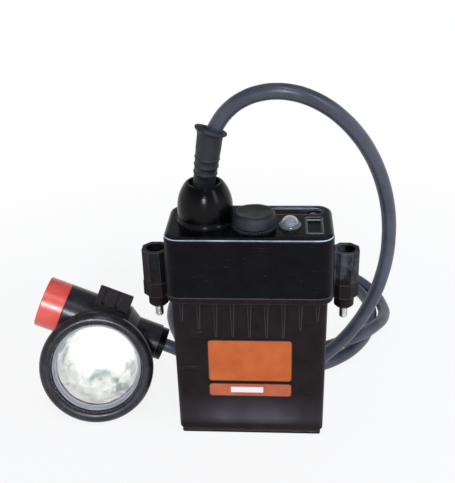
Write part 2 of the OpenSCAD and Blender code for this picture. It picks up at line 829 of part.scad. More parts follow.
// The dome's side: upright, then an ellipse that closes in to the mouth.
module cable_dome() {
    r = dome_d / 2;
    rise = dome_h - dome_skirt;
    lip_r = dome_mouth / 2 + dome_wall;
    reach = acos(lip_r / r);
    half = rise / sin(reach);
    outer = [for (i = [0:12]) let (a = reach * i / 12) [r * cos(a), dome_skirt + half * sin(a)]];
    inner_r = r - dome_wall;
    mouth_r = dome_mouth / 2;
    narrowed = mouth_r - inner_r * cos(reach);
    inner = [for (i = [12:-1:0]) let (a = reach * i / 12)
        [inner_r * cos(a) + narrowed * i / 12, dome_skirt + half * sin(a) - dome_wall * i / 30]];
    foot = [[r + dome_foot, 0], [r + dome_foot, 0.9], [r + dome_foot / 3, 1.8], [r, 3.2]];
    lip = [[lip_r - 1, dome_h + 0.7], [mouth_r + 0.5, dome_h + 0.7]];
    color(BLACK) translate([dome_x, dome_y, top_z]) rotate_extrude()
        polygon(concat(foot, outer, lip, inner, [[inner_r, 0]]));
}

module boot_clamp() {
    color(BRASS) translate([dome_x, dome_y, top_z]) ring(clamp_r, core_hole_r, clamp_h);
}

module boot_frame() {
    translate([dome_x, dome_y, boot_z + boot_pivot]) rotate([boot_nod, boot_lean, 0]) children();
}

module cable_boot() {
    r0 = boot_d / 2;
    r1 = boot_top_d / 2;
    lip = boot_lip_d / 2;
    band = boot_l - 8;
    widen = (r1 - r0) / band;
    rings = [for (z = boot_rings) each [[r0 + widen * z - widen, z - 1], [r0 + widen * z + 0.6, z],
                                        [r0 + widen * z + widen, z + 1]]];
    mouth = [[r1, band], [lip - 1.3, boot_l - 5.6], [lip, boot_l - 3.6], [lip, boot_l - 2.2],
             [lip - 1, boot_l - 0.6], [r1 - 0.2, boot_l - 0.2], [0, boot_l - 0.2]];
    funnel = [[0, boot_seat], [cable_bore_r + 0.5, boot_seat], [cable_bore_r + 0.9, boot_seat + 11],
              [r1 - 0.8, boot_l - 1.5], [r1 - 0.2, boot_l + 1], [0, boot_l + 1]];
    color(RUBBER) difference() {
        union() {
            translate([dome_x, dome_y, boot_z]) cylinder(r = boot_foot_r, h = boot_foot_h);
            boot_frame() rotate_extrude() polygon(concat([[0, -13], [r0 - 0.4, -13], [r0, 2]], rings, mouth));
        }
        boot_frame() rotate_extrude() polygon(funnel);
    }
}

// ---- Charging socket and its rubber cap ----

module charge_socket() {
    tooth = 360 / knurl_count;
    color(BLACK) translate([socket_x, socket_y, 0]) difference() {
        union() {
            up(top_z - cover_top - 5) cylinder(r = socket_thread_r, h = cover_top + 6);
            up(top_z) linear_extrude(knurl_h) polygon([for (i = [0:knurl_count - 1]) each [
                knurl_r * [cos(i * tooth), sin(i * tooth)],
                (knurl_r - knurl_tooth) * [cos((i + 0.5) * tooth), sin((i + 0.5) * tooth)]]]);
            up(collar_z - EPS) cylinder(d = socket_d, h = socket_h + EPS);
        }
        up(socket_floor_z) cylinder(d = socket_bore, h = socket_h + 10);
        for (x = [-1, 1]) translate([x * pin_pitch / 2, 0, 0]) cylinder(r = pin_d / 2 + EPS, h = top_z);
    }
}

module socket_pins() {
    pin_l = cover_top + 3 + pin_rise;
    color(BRASS) for (x = [-1, 1])
        translate([socket_x + x * pin_pitch / 2, socket_y, top_z - cover_top - 5]) {
            cylinder(d = pin_d, h = pin_l);
            up(pin_l) sphere(d = pin_d, $fn = 32);
        }
}

module socket_nut() {
    color(ZINC) translate([socket_x, socket_y, top_z - cover_top - 4]) difference() {
        cylinder(r = socket_thread_r + 4, h = 4, $fn = 6);
        up(-1) cylinder(r = socket_thread_r + thread_fit, h = 6);
    }
}

module socket_cap() {
    r0 = cap_d / 2;
    r1 = cap_top_d / 2;
    color(RUBBER) translate([socket_x, socket_y, cap_z]) rotate_extrude() polygon(concat(
        [[socket_d / 2 + cap_fit, 0], [r0 - 0.4, 0], [r0, 0.6]],
        arc_points(r1 - cap_edge, cap_h - cap_edge, cap_edge, 0, 80, 5),
        [[0, cap_h + 0.2], [0, cap_h - cap_top], [socket_d / 2 + cap_fit, cap_h - cap_top]]));
}

// ---- Indicator ----

module indicator_lens() {
    r = lens_dome_d / 2;
    wall = 1;
    bend = lens_h - 1.6;
    flange = [[lens_d / 2, 0], [lens_d / 2, 1.2], [lens_d / 2 - 0.4, 1.6], [r, 1.6]];
    outer = [for (a = [10:10:90]) [r * cos(a), 1.6 + bend * sin(a)]];
    inner = [for (a = [90:-10:0]) [(r - wall) * cos(a), 1.2 + (bend - wall) * sin(a)]];
    color(CLEAR) translate([lens_x, lens_y, top_z]) rotate_extrude()
        polygon(concat(flange, outer, inner, [[r - wall, 0]]));
}

module indicator_light() {
    color(SILVER) translate([lens_x, lens_y, top_z - cover_top]) {
        cylinder(d = led_d, h = cover_top + 1.4);
        up(cover_top + 1.4) sphere(d = led_d, $fn = 48);
    }
}

// ---- Sealing screw in the groove ----

module seal_screw() {
    r = seal_screw_d / 2;
    seat_z = top_z - groove_depth - seal_seat_h;
    color(ZINC) translate([groove_end_x, groove_y, seat_z]) difference() {
        rotate_extrude()
            polygon([[0, -cover_top], [r / 2, -cover_top], [r / 2, 0], [r, 0], [r, 0.8], [r - 0.5, 1.5],
                     [0, 1.8]]);
        translate([-r, -0.5, 0.9]) cube([2 * r, 1, 2]);
    }
}

// ---- Plates on the front ----

// Lays a plate against the leaning front wall, with its middle at height z.
module on_front(z) {
    translate([0, sunk_at(z) - case_d / 2, z]) rotate([90 + wall_lean, 0, 0]) children();
}

module label_plate() {
    color(ORANGE) on_front(plate_top - plate_h / 2) round_slab(plate_w, plate_h, plate_corner, plate_t);
}

module serial_plate() {
    color(ORANGE) on_front(plate_top - plate_h - plate_gap - serial_h / 2)
        round_slab(plate_w, serial_h, plate_corner, plate_t);
}

// ---- Headpiece ----

module in_head() {
    translate([head_x, head_y, head_z]) rotate(head_turn) rotate([-head_tilt, 0, 0]) rotate([0, head_roll, 0])
        children();
}

// Turns an outline of [radius, distance in front] about the light's axis.
module turned(points) {
    rotate([90, 0, 0]) rotate_extrude() polygon(points);
}

// Stands a piece on the switch tube's axis, x from the light's axis.
module on_tube(x) {
    translate([x, tube_f, tube_up]) rotate([0, 90, 0]) children();
}

module bezel_ring() {
    bore = seat_r + SNUG;
    inside = [[bezel_back_r, -bezel_back], [bore, -bezel_back], [bore, -shoulder_f],
              [bezel_throat, -shoulder_f]];
    color(BLACK) in_head() turned(concat(
        [[bezel_mouth, bezel_edge - 1.1]], arc_points(bezel_mid, 0, bezel_edge, 110, -30, 14), inside));
}

// A flat ring about the light's axis, from f0 back to f1.
module disc(r_in, r_out, f0, f1) {
    turned([[r_in, f0], [r_out, f0], [r_out, f1], [r_in, f1]]);
}

module lens_gasket() {
    color(PINK_GREY) in_head() disc(glass_gasket_r, seat_r, -shoulder_f, glass_front);
}

module head_lens() {
    color(CLEAR) in_head() disc(0, seat_r, glass_front, glass_back);
}

// The reflector's bowl is a parabola from its rim down to the hole for the emitter.
module reflector() {
    n = 16;
    hole_sq = pow(reflector_hole, 2);
    radii = [for (i = [0:n]) sqrt(hole_sq + (pow(reflector_r, 2) - hole_sq) * pow(i / n, 1.6))];
    depths = [for (i = [0:n]) reflector_back + reflector_depth * pow(i / n, 1.6)];
    inner = [for (i = [0:n]) [radii[i], depths[i]]];
    outer = [for (i = [n:-1:0]) [radii[i] + reflector_t, depths[i]]];
    rim = [[seat_r, reflector_front], [seat_r, spigot_front], [outer[0][0], spigot_front]];
    color(SILVER) in_head() turned(concat(inner, rim, [for (i = [1:n]) outer[i]]));
}

module main_emitter() {
    base = reflector_back - 0.4;
    dome = [for (a = [0:10:90]) [emitter_r * cos(a), base + 1 + (emitter_h - 1) * sin(a)]];
    color(CREAM) in_head() turned(concat([[0, base], [emitter_r, base]], dome));
}

module emitter_board() {
    color(SILVER) in_head() disc(0, board_r, reflector_back - 0.4, sink_front);
}

module heat_sink() {
    step = sink_front - sink_step;
    color(SILVER) in_head() {
        disc(0, board_r, sink_front, step);
        disc(0, sink_foot_r, step, cavity_back);
    }
}

module bowl_solid() {
    turned([[0, bowl_front], [bowl_r, bowl_front], [bowl_r - 0.4, bowl_front - bowl_foot],
            [bowl_back_r + bowl_bulge, bowl_foot - bowl_back], [bowl_back_r, -bowl_back], [0, -bowl_back]]);
    disc(0, seat_r - SNUG, spigot_front, bowl_front - 1);
}

module bowl_cavity() {
    front_r = reflector_r + reflector_t + 0.4;
    back_r = bowl_back_r - bowl_wall;
    turned([[0, spigot_front + 1], [front_r, spigot_front + 1], [front_r, bowl_front - bowl_foot],
            [back_r + bowl_bulge, bowl_foot - bowl_back], [back_r + 1.5, cavity_back], [0, cavity_back]]);
}

module tube_solid() {
    on_tube(tube_left) cylinder(r = tube_r, h = cone_start - tube_left);
    on_tube(cone_start) cylinder(r1 = tube_r, r2 = neck_r, h = neck_start - cone_start);
    on_tube(neck_start - 1) cylinder(r = neck_r, h = neck_end - neck_start + 1);
}

// The switch's bay, and behind its wall the way for the wires to the neck.
module tube_bores() {
    on_tube(bay_start) cylinder(r = tube_bore_r, h = switch_bay_end - bay_start);
    on_tube(switch_bay_end + bowl_wall) cylinder(r = tube_bore_r, h = cone_start - switch_bay_end - bowl_wall);
    on_tube(cone_start - EPS) cylinder(r1 = tube_bore_r, r2 = neck_r - bowl_wall, h = neck_start - cone_start);
}

// The space that the bezel and a gap round it take, which the tube keeps out of.
module bezel_room(gap) {
    turned([[0, bezel_edge + 1], [bezel_r + gap, bezel_edge + 1], [bezel_r + gap, -bezel_edge / 2],
            [bezel_back_r + gap, -bezel_back - gap], [0, -bezel_back - gap]]);
}

module head_housing() {
    color(BLACK) in_head() difference() {
        union() {
            bowl_solid();
            difference() {
                tube_solid();
                bezel_room(knob_gap);
            }
        }
        bowl_cavity();
        difference() {
            tube_bores();
            bezel_room(knob_gap + bowl_wall);
        }
        on_tube(tube_left - 1) cylinder(r = shaft_r + shaft_fit, h = tube_end_wall + 2);
        on_tube(bay_start - seal_t) cylinder(r = shaft_r + seal_w, h = seal_t + 1);
        on_tube(neck_start - 2) cylinder(r = cable_bore_r, h = neck_end);
        on_tube(bush_x) cylinder(r = gland_thread_r + SNUG, h = neck_end);
    }
}

// ---- Switch: knob, shaft, screw, seal and contacts ----

module switch_knob() {
    e = knob_edge;
    outline = concat([[0, 0]], arc_points(tube_r - e, e, e, -90, 0, 4),
                     arc_points(tube_r - e / 2, knob_l - e / 2, e / 2, 0, 90, 3), [[0, knob_l]]);
    color(RED) in_head() on_tube(-knob_end) difference() {
        rotate_extrude() polygon(outline);
        up(knob_floor) cylinder(r = shaft_r + EPS, h = knob_l);
        up(-1) cylinder(r = 4.2, h = 3.4);
        cylinder(r = 2, h = knob_l);
    }
}

module switch_shaft() {
    left = knob_floor - knob_end;
    color(BRASS) in_head() on_tube(left) difference() {
        cylinder(r = shaft_r, h = switch_bay_end - 1 - left);
        up(-1) cylinder(r = 1.6, h = 9);
    }
}

module knob_screw() {
    color(ZINC) in_head() on_tube(-knob_end + 0.4) difference() {
        union() {
            cylinder(r = 4, h = 2);
            cylinder(r = 1.55, h = 10);
        }
        translate([-5, -0.6, -1]) cube([10, 1.2, 1.8]);
    }
}

module shaft_seal() {
    color(RUBBER) in_head() on_tube(bay_start - seal_t)
        ring(shaft_r + seal_w - SNUG, shaft_r + shaft_fit, seal_t);
}

module switch_rotor() {
    color(CREAM) in_head() on_tube(bay_start + 1) difference() {
        union() {
            cylinder(r = rotor_r, h = rotor_t);
            translate([rotor_r - 2, -2, 0]) cube([rotor_finger - rotor_r + 2, 4, rotor_t]);
        }
        up(-1) cylinder(r = shaft_r + EPS, h = rotor_t + 2);
    }
}

module switch_contacts() {
    start = bay_start + 1 + rotor_t + 0.3;
    color(CREAM) in_head() difference() {
        on_tube(start) cylinder(r = tube_bore_r - SNUG, h = contact_t);
        on_tube(start - 1) cylinder(r = shaft_r + 0.4, h = contact_t + 2);
        bezel_room(knob_gap + bowl_wall + SNUG);
    }
}

// ---- Cap hook ----

module cap_hook() {
    back = tongue_front + tongue_t;
    roof = tube_up + hook_up;
    roof_back = roof - hook_fall * (back - hook_front);
    under = roof_back - hook_t;
    color(BLACK) in_head() difference() {
        union() {
            translate([hook_x0, 0, 0]) rotate([90, 0, 90]) linear_extrude(hook_w)
                polygon([[hook_front, tube_up + 6], [hook_front, roof], [back, roof_back], [back, under],
                         [bowl_back, under], [bowl_back, tube_up + 6]]);
            translate([hook_x0 + 3, tongue_front, under - tongue_l])
                cube([hook_w - 6, tongue_t, tongue_l + 1]);
        }
        on_tube(hook_x0 - 1) cylinder(r = tube_r, h = hook_w + 2);
        disc(0, bezel_r + 1, 0, -bezel_back - 2);
        disc(0, bowl_r, bowl_front, -bowl_back - 1);
        for (x = [4.4, 14])
            translate([hook_x0 + x, hook_front - 1, tube_up]) cube([hook_notch, 4, hook_up + 1]);
        for (x = hook_screw_x) translate([x, tube_f, tube_up + screw_up]) {
            up(-screw_sink) cylinder(d = hook_screw_d + 0.4, h = screw_sink + 2);
            up(-screw_up) cylinder(r = 1.7, h = screw_up);
        }
    }
}

module hook_screws() {
    shank = screw_up - tube_r - SNUG;
    color(ZINC) in_head() for (x = hook_screw_x) translate([x, tube_f, tube_up + screw_up]) difference() {
        union() {
            up(-screw_sink) cylinder(d = hook_screw_d, h = screw_head_h);
            up(-shank) cylinder(r = 1.6, h = shank - screw_sink + EPS);
        }
        up(0.6 - screw_sink) cylinder(r = 1.4, h = 2, $fn = 6);
    }
}

// ---- Gland ----

module gland_nut() {
    color(BLACK) in_head() on_tube(neck_end) difference() {
        union() {
            rotate(180 / gland_flats) cylinder(r = gland_r, h = gland_t, $fn = gland_flats);
            up(-gland_thread_l) cylinder(r = gland_thread_r, h = gland_thread_l + EPS);
        }
        up(-gland_thread_l - 1) cylinder(r = cable_bore_r, h = gland_thread_l + gland_t + 2);
    }
}

module gland_bush() {
    color(RUBBER) in_head() on_tube(bush_x) ring(gland_thread_r, cable_bore_r, bush_l - SNUG);
}

// ---- Cable ----

function unit(v) = v / norm(v);
function bend_tangents(p) = let (n = len(p)) [for (i = [0:n - 1])
    unit(i == 0 ? p[1] - p[0] : i == n - 1 ? p[i] - p[i - 1] : unit(p[i + 1] - p[i]) + unit(p[i] - p[i - 1]))];
// Carries a side direction along the tangents without twist.
function carried(t, u, i = 0, out = []) = i == len(t) ? out :
    let (v = unit(u - (u * t[i]) * t[i])) carried(t, v, i + 1, concat(out, [v]));

module swept_tube(path, d, sides) {
    t = bend_tangents(path);
    side = carried(t, abs(t[0][2]) > 0.8 ? [1, 0, 0] : [0, 0, 1]);
    n = len(path);
    points = [for (i = [0:n - 1], k = [0:sides - 1]) let (a = 360 * k / sides)
        path[i] + d / 2 * (cos(a) * side[i] + sin(a) * cross(t[i], side[i]))];
    walls = [for (i = [0:n - 2], k = [0:sides - 1]) let (a = i * sides + k, b = i * sides + (k + 1) % sides)
        each [[a, b, b + sides], [a, b + sides, a + sides]]];
    last = (n - 1) * sides;
    caps = [for (k = [1:sides - 2]) each [[0, k + 1, k], [last, last + k, last + k + 1]]];
    polyhedron(points = points, faces = [for (f = concat(walls, caps)) [f[0], f[2], f[1]]], convexity = 8);
}

function smooth_step(x) = let (c = max(0, min(1, x))) c * c * (3 - 2 * c);
// A point of the loops at the unwound angle a, which falls from loop_from to loop_to.
function loop_point(a) =
    let (past_1 = loop_swap - 360 - a, past_2 = loop_swap - 720 - a,
         s_1 = smooth_step((past_1 + loop_swap_half) / (2 * loop_swap_half)),
         s_2 = smooth_step((past_2 + loop_swap_half) / (2 * loop_swap_half)),
         r = loop_outer - (loop_outer - loop_inner) * (s_1 - s_2),
         lift = loop_lift * smooth_step((loop_zero - abs(past_1)) / (loop_zero - loop_full)))
    [loop_x + r * cos(a), loop_y + r * sin(a), cable_d / 2 + lift];
function loop_heading(a) = [sin(a), -cos(a), 0];

loop_steps = round((loop_from - loop_to) / 360 * loop_rings);
loop_body = [for (i = [0:loop_steps]) loop_point(loop_from + (loop_to - loop_from) * i / loop_steps)];
loop_start = loop_body[0] - cable_d * loop_heading(loop_from);
loop_end = loop_body[loop_steps] + cable_d * loop_heading(loop_to);
LOOP_PATH = concat([loop_start], loop_body, [loop_end]);

// The least free space between strands of the loops, measured between points on the path.
function split(p, n) = [for (i = [0:len(p) - 2], k = [0:n - 1]) p[i] + (p[i + 1] - p[i]) * k / n];
loop_fine = split(loop_body, 5);
loop_half = loop_rings * 5 / 2;
loop_last = len(loop_fine) - 1;
loop_gap = min([for (i = [0:loop_last - loop_half]) min([for (k = [i + loop_half:loop_last])
    norm(loop_fine[i] - loop_fine[k])])]) - cable_d;
echo(least_gap_between_loops = loop_gap);

// Places in the room of points given in the headpiece's own frame.
function roll_y(p, a) = [p[0] * cos(a) + p[2] * sin(a), p[1], -p[0] * sin(a) + p[2] * cos(a)];
function tilt_x(p, a) = [p[0], p[1] * cos(a) - p[2] * sin(a), p[1] * sin(a) + p[2] * cos(a)];
function turn_z(p, a) = [p[0] * cos(a) - p[1] * sin(a), p[0] * sin(a) + p[1] * cos(a), p[2]];
function head_point(p) =
    [head_x, head_y, head_z] + turn_z(tilt_x(roll_y(p, head_roll), -head_tilt), head_turn);
function tube_point(x) = head_point([x, tube_f, tube_up]);
function boot_point(h) =
    [dome_x, dome_y, boot_z + boot_pivot] + h * roll_y(tilt_x([0, 0, 1], boot_nod), boot_lean);

module cable_arc() {
    path = concat([boot_point(boot_seat)], ARC_ROUTE, [loop_start - 14 * loop_heading(loop_from), loop_start]);
    color(CABLE_GREY) swept_tube(path, cable_d, cable_sides);
}

module cable_coil() {
    color(CABLE_GREY) swept_tube(LOOP_PATH, cable_d, loop_sides);
}

module cable_lead() {
    path = concat([loop_end, loop_end + 8 * loop_heading(loop_to)], LEAD_ROUTE,
                  [for (x = [neck_end + gland_t + 6, neck_end + gland_t, lead_inside]) tube_point(x)]);
    color(CABLE_GREY) swept_tube(path, cable_d, cable_sides);
}

battery_case();
battery_cover();
cover_lugs();
case_gasket();
cover_bolts();
bolt_washers();
bolt_inserts();
battery_cells();
lower_cell_holder();
upper_cell_holder();
cell_strips();
control_board();
cable_dome();
boot_clamp();
cable_boot();
charge_socket();
socket_pins();
socket_nut();
socket_cap();
indicator_lens();
indicator_light();
seal_screw();
label_plate();
serial_plate();
head_housing();
bezel_ring();
lens_gasket();
head_lens();
reflector();
main_emitter();
emitter_board();
heat_sink();
switch_knob();
switch_shaft();
knob_screw();
shaft_seal();
switch_rotor();
switch_contacts();
cap_hook();
hook_screws();
gland_nut();
gland_bush();
cable_arc();
cable_coil();
cable_lead();
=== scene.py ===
# %% [markdown]
# # A miner's cap lamp
# A cap lamp is a battery on the belt, a headpiece on the helmet, and a thick cable between the two.
# The engineering model already holds every solid part in its place. This lesson dresses it: the cable and
# the rubber pieces are made anew, and every surface gets the finish of the real one.
# Everything is in metres and in the model's own frame, so a piece goes where the model says.

# %% Load the frame
import math

import bmesh
import bpy
from mathutils import Matrix, Vector, noise


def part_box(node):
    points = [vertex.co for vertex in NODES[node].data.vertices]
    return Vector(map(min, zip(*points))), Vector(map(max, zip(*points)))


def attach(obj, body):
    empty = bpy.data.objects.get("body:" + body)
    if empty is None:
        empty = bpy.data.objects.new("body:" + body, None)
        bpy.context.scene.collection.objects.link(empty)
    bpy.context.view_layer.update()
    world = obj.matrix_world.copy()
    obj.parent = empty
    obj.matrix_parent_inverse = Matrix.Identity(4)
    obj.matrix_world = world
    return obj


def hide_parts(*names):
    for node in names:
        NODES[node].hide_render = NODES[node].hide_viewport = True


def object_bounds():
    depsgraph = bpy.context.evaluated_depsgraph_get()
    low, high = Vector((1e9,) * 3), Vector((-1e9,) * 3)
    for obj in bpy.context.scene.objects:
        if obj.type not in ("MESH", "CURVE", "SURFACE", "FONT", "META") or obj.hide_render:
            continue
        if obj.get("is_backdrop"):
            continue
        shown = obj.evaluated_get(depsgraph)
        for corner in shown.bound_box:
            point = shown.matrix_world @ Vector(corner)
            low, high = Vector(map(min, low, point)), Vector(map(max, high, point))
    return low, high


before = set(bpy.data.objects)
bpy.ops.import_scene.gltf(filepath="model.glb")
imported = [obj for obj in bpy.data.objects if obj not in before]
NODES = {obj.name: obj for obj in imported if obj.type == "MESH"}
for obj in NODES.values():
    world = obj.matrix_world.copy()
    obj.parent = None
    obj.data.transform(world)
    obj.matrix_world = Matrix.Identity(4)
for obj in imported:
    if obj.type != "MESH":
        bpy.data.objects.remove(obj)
cad_low, cad_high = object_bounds()
MM = 0.001
print(f"{len(NODES)} nodes, {(cad_high - cad_low)[0]:.3f} m wide")

# %% [markdown]
# ## Camera
# The lamp stands on a table and is seen from a little above, by a lens with a narrow angle, so that upright
# edges stay nearly upright. A small upward shift sets the lamp's height in the picture without more tilt.
# The camera comes first, because the cable is laid out with what the camera sees in mind.

# %% Camera
CAMERA_PLACE = (0.020295, -0.465715, 0.36627)
PITCH = math.radians(62.663)
ROLL = math.radians(-1.628)
TURN = math.radians(4.315)
FOCAL_LENGTH, SENSOR_WIDTH = 60.78, 36  # mm
SHIFT_RIGHT, SHIFT_UP = 0.001, 0.034  # parts of the picture's longer side

lens = bpy.data.cameras.new("lamp_camera")
lens.lens = FOCAL_LENGTH
lens.sensor_width = SENSOR_WIDTH
lens.shift_x = SHIFT_RIGHT
lens.shift_y = SHIFT_UP
camera = bpy.data.objects.new("lamp_camera", lens)
bpy.context.scene.collection.objects.link(camera)
camera.matrix_world = (
    Matrix.Translation(CAMERA_PLACE) @ Matrix.Rotation(TURN, 4, "Z")
    @ Matrix.Rotation(PITCH, 4, "X") @ Matrix.Rotation(ROLL, 4, "Z")
)
bpy.context.scene.camera = camera
print("camera", [round(x, 3) for x in camera.location], f"{lens.lens} mm")

# %% [markdown]
# ## Cable
# The cable is a tough rubber hose 9.5 mm across round two wires. It leaves the boot upwards, falls behind the
# case in one large arc, lies on the table in almost two turns, and climbs to the headpiece's gland.
# It could be a swept mesh, but a curve object keeps its centreline, so its length stays known. A Bezier
# spline with automatic handles passes through every point and stays smooth between them.
# A turn on the table follows an outer or an inner circle. Where the two change places, one strand climbs
# over the other. The angle falls as the cable runs on.

# %% The cable's route, in millimetres
CABLE_WIDTH = 9.5
LOOP_CENTRE = (16.8, 136.6)
LOOP_OUTER, LOOP_INNER = 89.8, 79.3  # radii
LOOP_FROM, LOOP_TO = -160, -805  # degrees
LOOP_SWAP, SWAP_HALF = -45.7, 39  # degrees: the middle of the change of places, and half its length
LOOP_LIFT = 10.6
LIFT_FULL, LIFT_ZERO = 9, 57  # degrees from the crossing: fully lifted inside 9, on the table past 57
RUN_IN, RUN_OUT = 14, 8  # straight cable before and after the turns

FREE_ARC = [
    (-24.7, 1.6, 197.2), (-23.4, 0.7, 202.3), (-21.7, -0.3, 207.6), (-18.7, -1.8, 214.2),
    (-11.2, -5, 224.7), (-1.1, -8.2, 232.5), (8.8, -10.2, 236.2), (18, -11.2, 237.2), (26, -11.3, 236.3),
    (34, -10.5, 233.8), (45, -7.9, 227.6), (54.8, -3.5, 219), (64.8, 3.1, 206.9), (73.4, 10.3, 193),
    (80, 16.7, 179), (85.2, 22, 164.4), (88.5, 25.7, 151.6), (90.7, 28.8, 138.8), (91.8, 31.7, 124.3),
    (91.7, 34.1, 110.2), (89.7, 36.7, 93.3), (85.7, 38.9, 76.3), (81.3, 40.2, 64), (75.5, 41.2, 51.9),
    (65.7, 41.7, 36.9), (53.7, 40.8, 24.3), (41.9, 38.9, 15.4), (29.7, 36.6, 9.3), (17, 34.4, 5.9),
    (3.1, 33.1, 4.9), (-12, 33.3, 4.9), (-25, 35.8, 4.8), (-36.6, 42.3, 4.8), (-45.8, 52.8, 4.8),
    (-52.2, 66.4, 4.8),
]
LEAD_UP = [(-12, 44.2, 7.3), (-22, 42.8, 11.5), (-34, 38.8, 18), (-46, 34.9, 25)]

# %% The two frames that the cable starts and ends in
HEAD_PLACE = (-0.1086, -0.0006, 0.038002)
HEAD_TURN, HEAD_NOD, HEAD_TILT = 7.6, -18.5, 24  # degrees
BOOT_PLACE = (-0.028, 0.0035, 0.1762)
BOOT_TO_RIGHT, BOOT_TO_BACK = 9, 5  # degrees
FUNNEL_FLOOR = 11  # mm above the boot's own origin, where the cable comes out
TUBE_BEHIND, TUBE_ABOVE = 26, 25.6  # mm from the light's axis to the switch tube's
GLAND_MOUTH = 40.1  # mm along the tube

HEAD = (
    Matrix.Translation(HEAD_PLACE) @ Matrix.Rotation(math.radians(HEAD_TURN), 4, "Z")
    @ Matrix.Rotation(math.radians(HEAD_NOD), 4, "X") @ Matrix.Rotation(math.radians(HEAD_TILT), 4, "Y")
)
BOOT = (
    Matrix.Translation(BOOT_PLACE) @ Matrix.Rotation(math.radians(BOOT_TO_RIGHT), 4, "Y")
    @ Matrix.Rotation(math.radians(BOOT_TO_BACK), 4, "X")
)


def on_tube(x):
    """A point on the switch tube's axis, x mm to the right of the light's axis."""
    return HEAD @ Vector((x * MM, TUBE_BEHIND * MM, TUBE_ABOVE * MM))


print("gland at", [round(c, 3) for c in on_tube(GLAND_MOUTH)])


# %% Lay the cable
def eased(x):
    """0 below 0, 1 above 1, and a smooth step between."""
    x = min(1.0, max(0.0, x))
    return x * x * (3 - 2 * x)


def loop_point(angle):
    """A point of the turns on the table, in mm, at an angle in degrees."""
    past_1 = LOOP_SWAP - 360 - angle
    past_2 = LOOP_SWAP - 720 - angle
    step_1 = eased((past_1 + SWAP_HALF) / (2 * SWAP_HALF))
    step_2 = eased((past_2 + SWAP_HALF) / (2 * SWAP_HALF))
    radius = LOOP_OUTER - (LOOP_OUTER - LOOP_INNER) * (step_1 - step_2)
    lift = LOOP_LIFT * eased((LIFT_ZERO - abs(past_1)) / (LIFT_ZERO - LIFT_FULL))
    turn = math.radians(angle)
    centre_x, centre_y = LOOP_CENTRE
    return Vector((centre_x + radius * math.cos(turn), centre_y + radius * math.sin(turn),
                   CABLE_WIDTH / 2 + lift))


def loop_heading(angle):
    """The way that the cable runs at an angle of its turns."""
    return Vector((math.sin(math.radians(angle)), -math.cos(math.radians(angle)), 0))


LOOP_STEPS = 43
turns = [loop_point(LOOP_FROM + (LOOP_TO - LOOP_FROM) * i / LOOP_STEPS) for i in range(LOOP_STEPS + 1)]
loop_start = turns[0] - CABLE_WIDTH * loop_heading(LOOP_FROM)
loop_end = turns[-1] + CABLE_WIDTH * loop_heading(LOOP_TO)
cable_exit = BOOT @ Vector((0, 0, FUNNEL_FLOOR * MM))
route = [cable_exit]
route += [Vector(p) * MM for p in FREE_ARC]
route += [p * MM for p in (loop_start - RUN_IN * loop_heading(LOOP_FROM), loop_start, *turns, loop_end,
                           loop_end + RUN_OUT * loop_heading(LOOP_TO))]
route += [Vector(p) * MM for p in LEAD_UP]
route += [on_tube(x) for x in (GLAND_MOUTH + 6, GLAND_MOUTH, 20)]

cable_line = bpy.data.curves.new("lamp_cable", "CURVE")
cable_line.dimensions = "3D"
cable_line.bevel_depth = 1.0  # each knot's radius is then the tube's own
cable_line.bevel_resolution = 8
cable_line.resolution_u = 8
cable_line.use_fill_caps = True
spline = cable_line.splines.new("BEZIER")
spline.bezier_points.add(len(route) - 1)
for knot, place in zip(spline.bezier_points, route):
    knot.co = place
    knot.radius = CABLE_WIDTH / 2 * MM
    knot.handle_left_type = knot.handle_right_type = "AUTO"
cable = bpy.data.objects.new("lamp_cable", cable_line)
bpy.context.scene.collection.objects.link(cable)
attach(cable, "lamp")
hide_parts("cable_arc", "cable_coil", "cable_lead")
print(f"cable: {len(route)} points, {spline.calc_length():.3f} m")

# %% [markdown]
# ## Studio
# A plain pale floor and soft light. One soft sun from behind the camera gives every front the same level,
# so a colour renders about as it is written. A weaker one from above draws a thin bright line along the
# rounded upper edges, and a tall panel on the right adds long reflections.
# The floor keeps a trace of the lamp's shadow. Away from the lamp it fades to plain white, so the picture
# has no horizon. What the camera, a mirror or glass sees of the surroundings is white too, and fades to
# grey higher up, as in a studio with a white cove under a darker ceiling. It keeps the tops of glossy
# black pieces dark.


# %% Helpers for shaders
def to_linear(code):
    """A colour written as sRGB hex, such as d2693a, in the linear values that a shader needs."""
    parts = [int(code[i:i + 2], 16) / 255 for i in (0, 2, 4)]
    return (*(c / 12.92 if c <= 0.04045 else ((c + 0.055) / 1.055) ** 2.4 for c in parts), 1.0)


def put(tree, kind, inputs=None, **settings):
    """Adds one node. Settings are its own properties; inputs are values, or sockets that feed it."""
    made = tree.nodes.new("ShaderNode" + kind)
    for name, value in settings.items():
        setattr(made, name, value)
    for name, value in (inputs or {}).items():
        if isinstance(value, bpy.types.NodeSocket):
            tree.links.new(value, made.inputs[name])
        else:
            made.inputs[name].default_value = value
    return made


def sees_white(tree):
    """1 for a ray from the camera, a mirror or glass, and 0 for light that spreads."""
    ray = put(tree, "LightPath")
    seen = put(tree, "Math", {0: ray.outputs["Is Camera Ray"], 1: ray.outputs["Is Glossy Ray"]},
               operation="MAXIMUM")
    seen = put(tree, "Math", {0: seen.outputs[0], 1: ray.outputs["Is Transmission Ray"]}, operation="MAXIMUM")
    return seen.outputs[0]


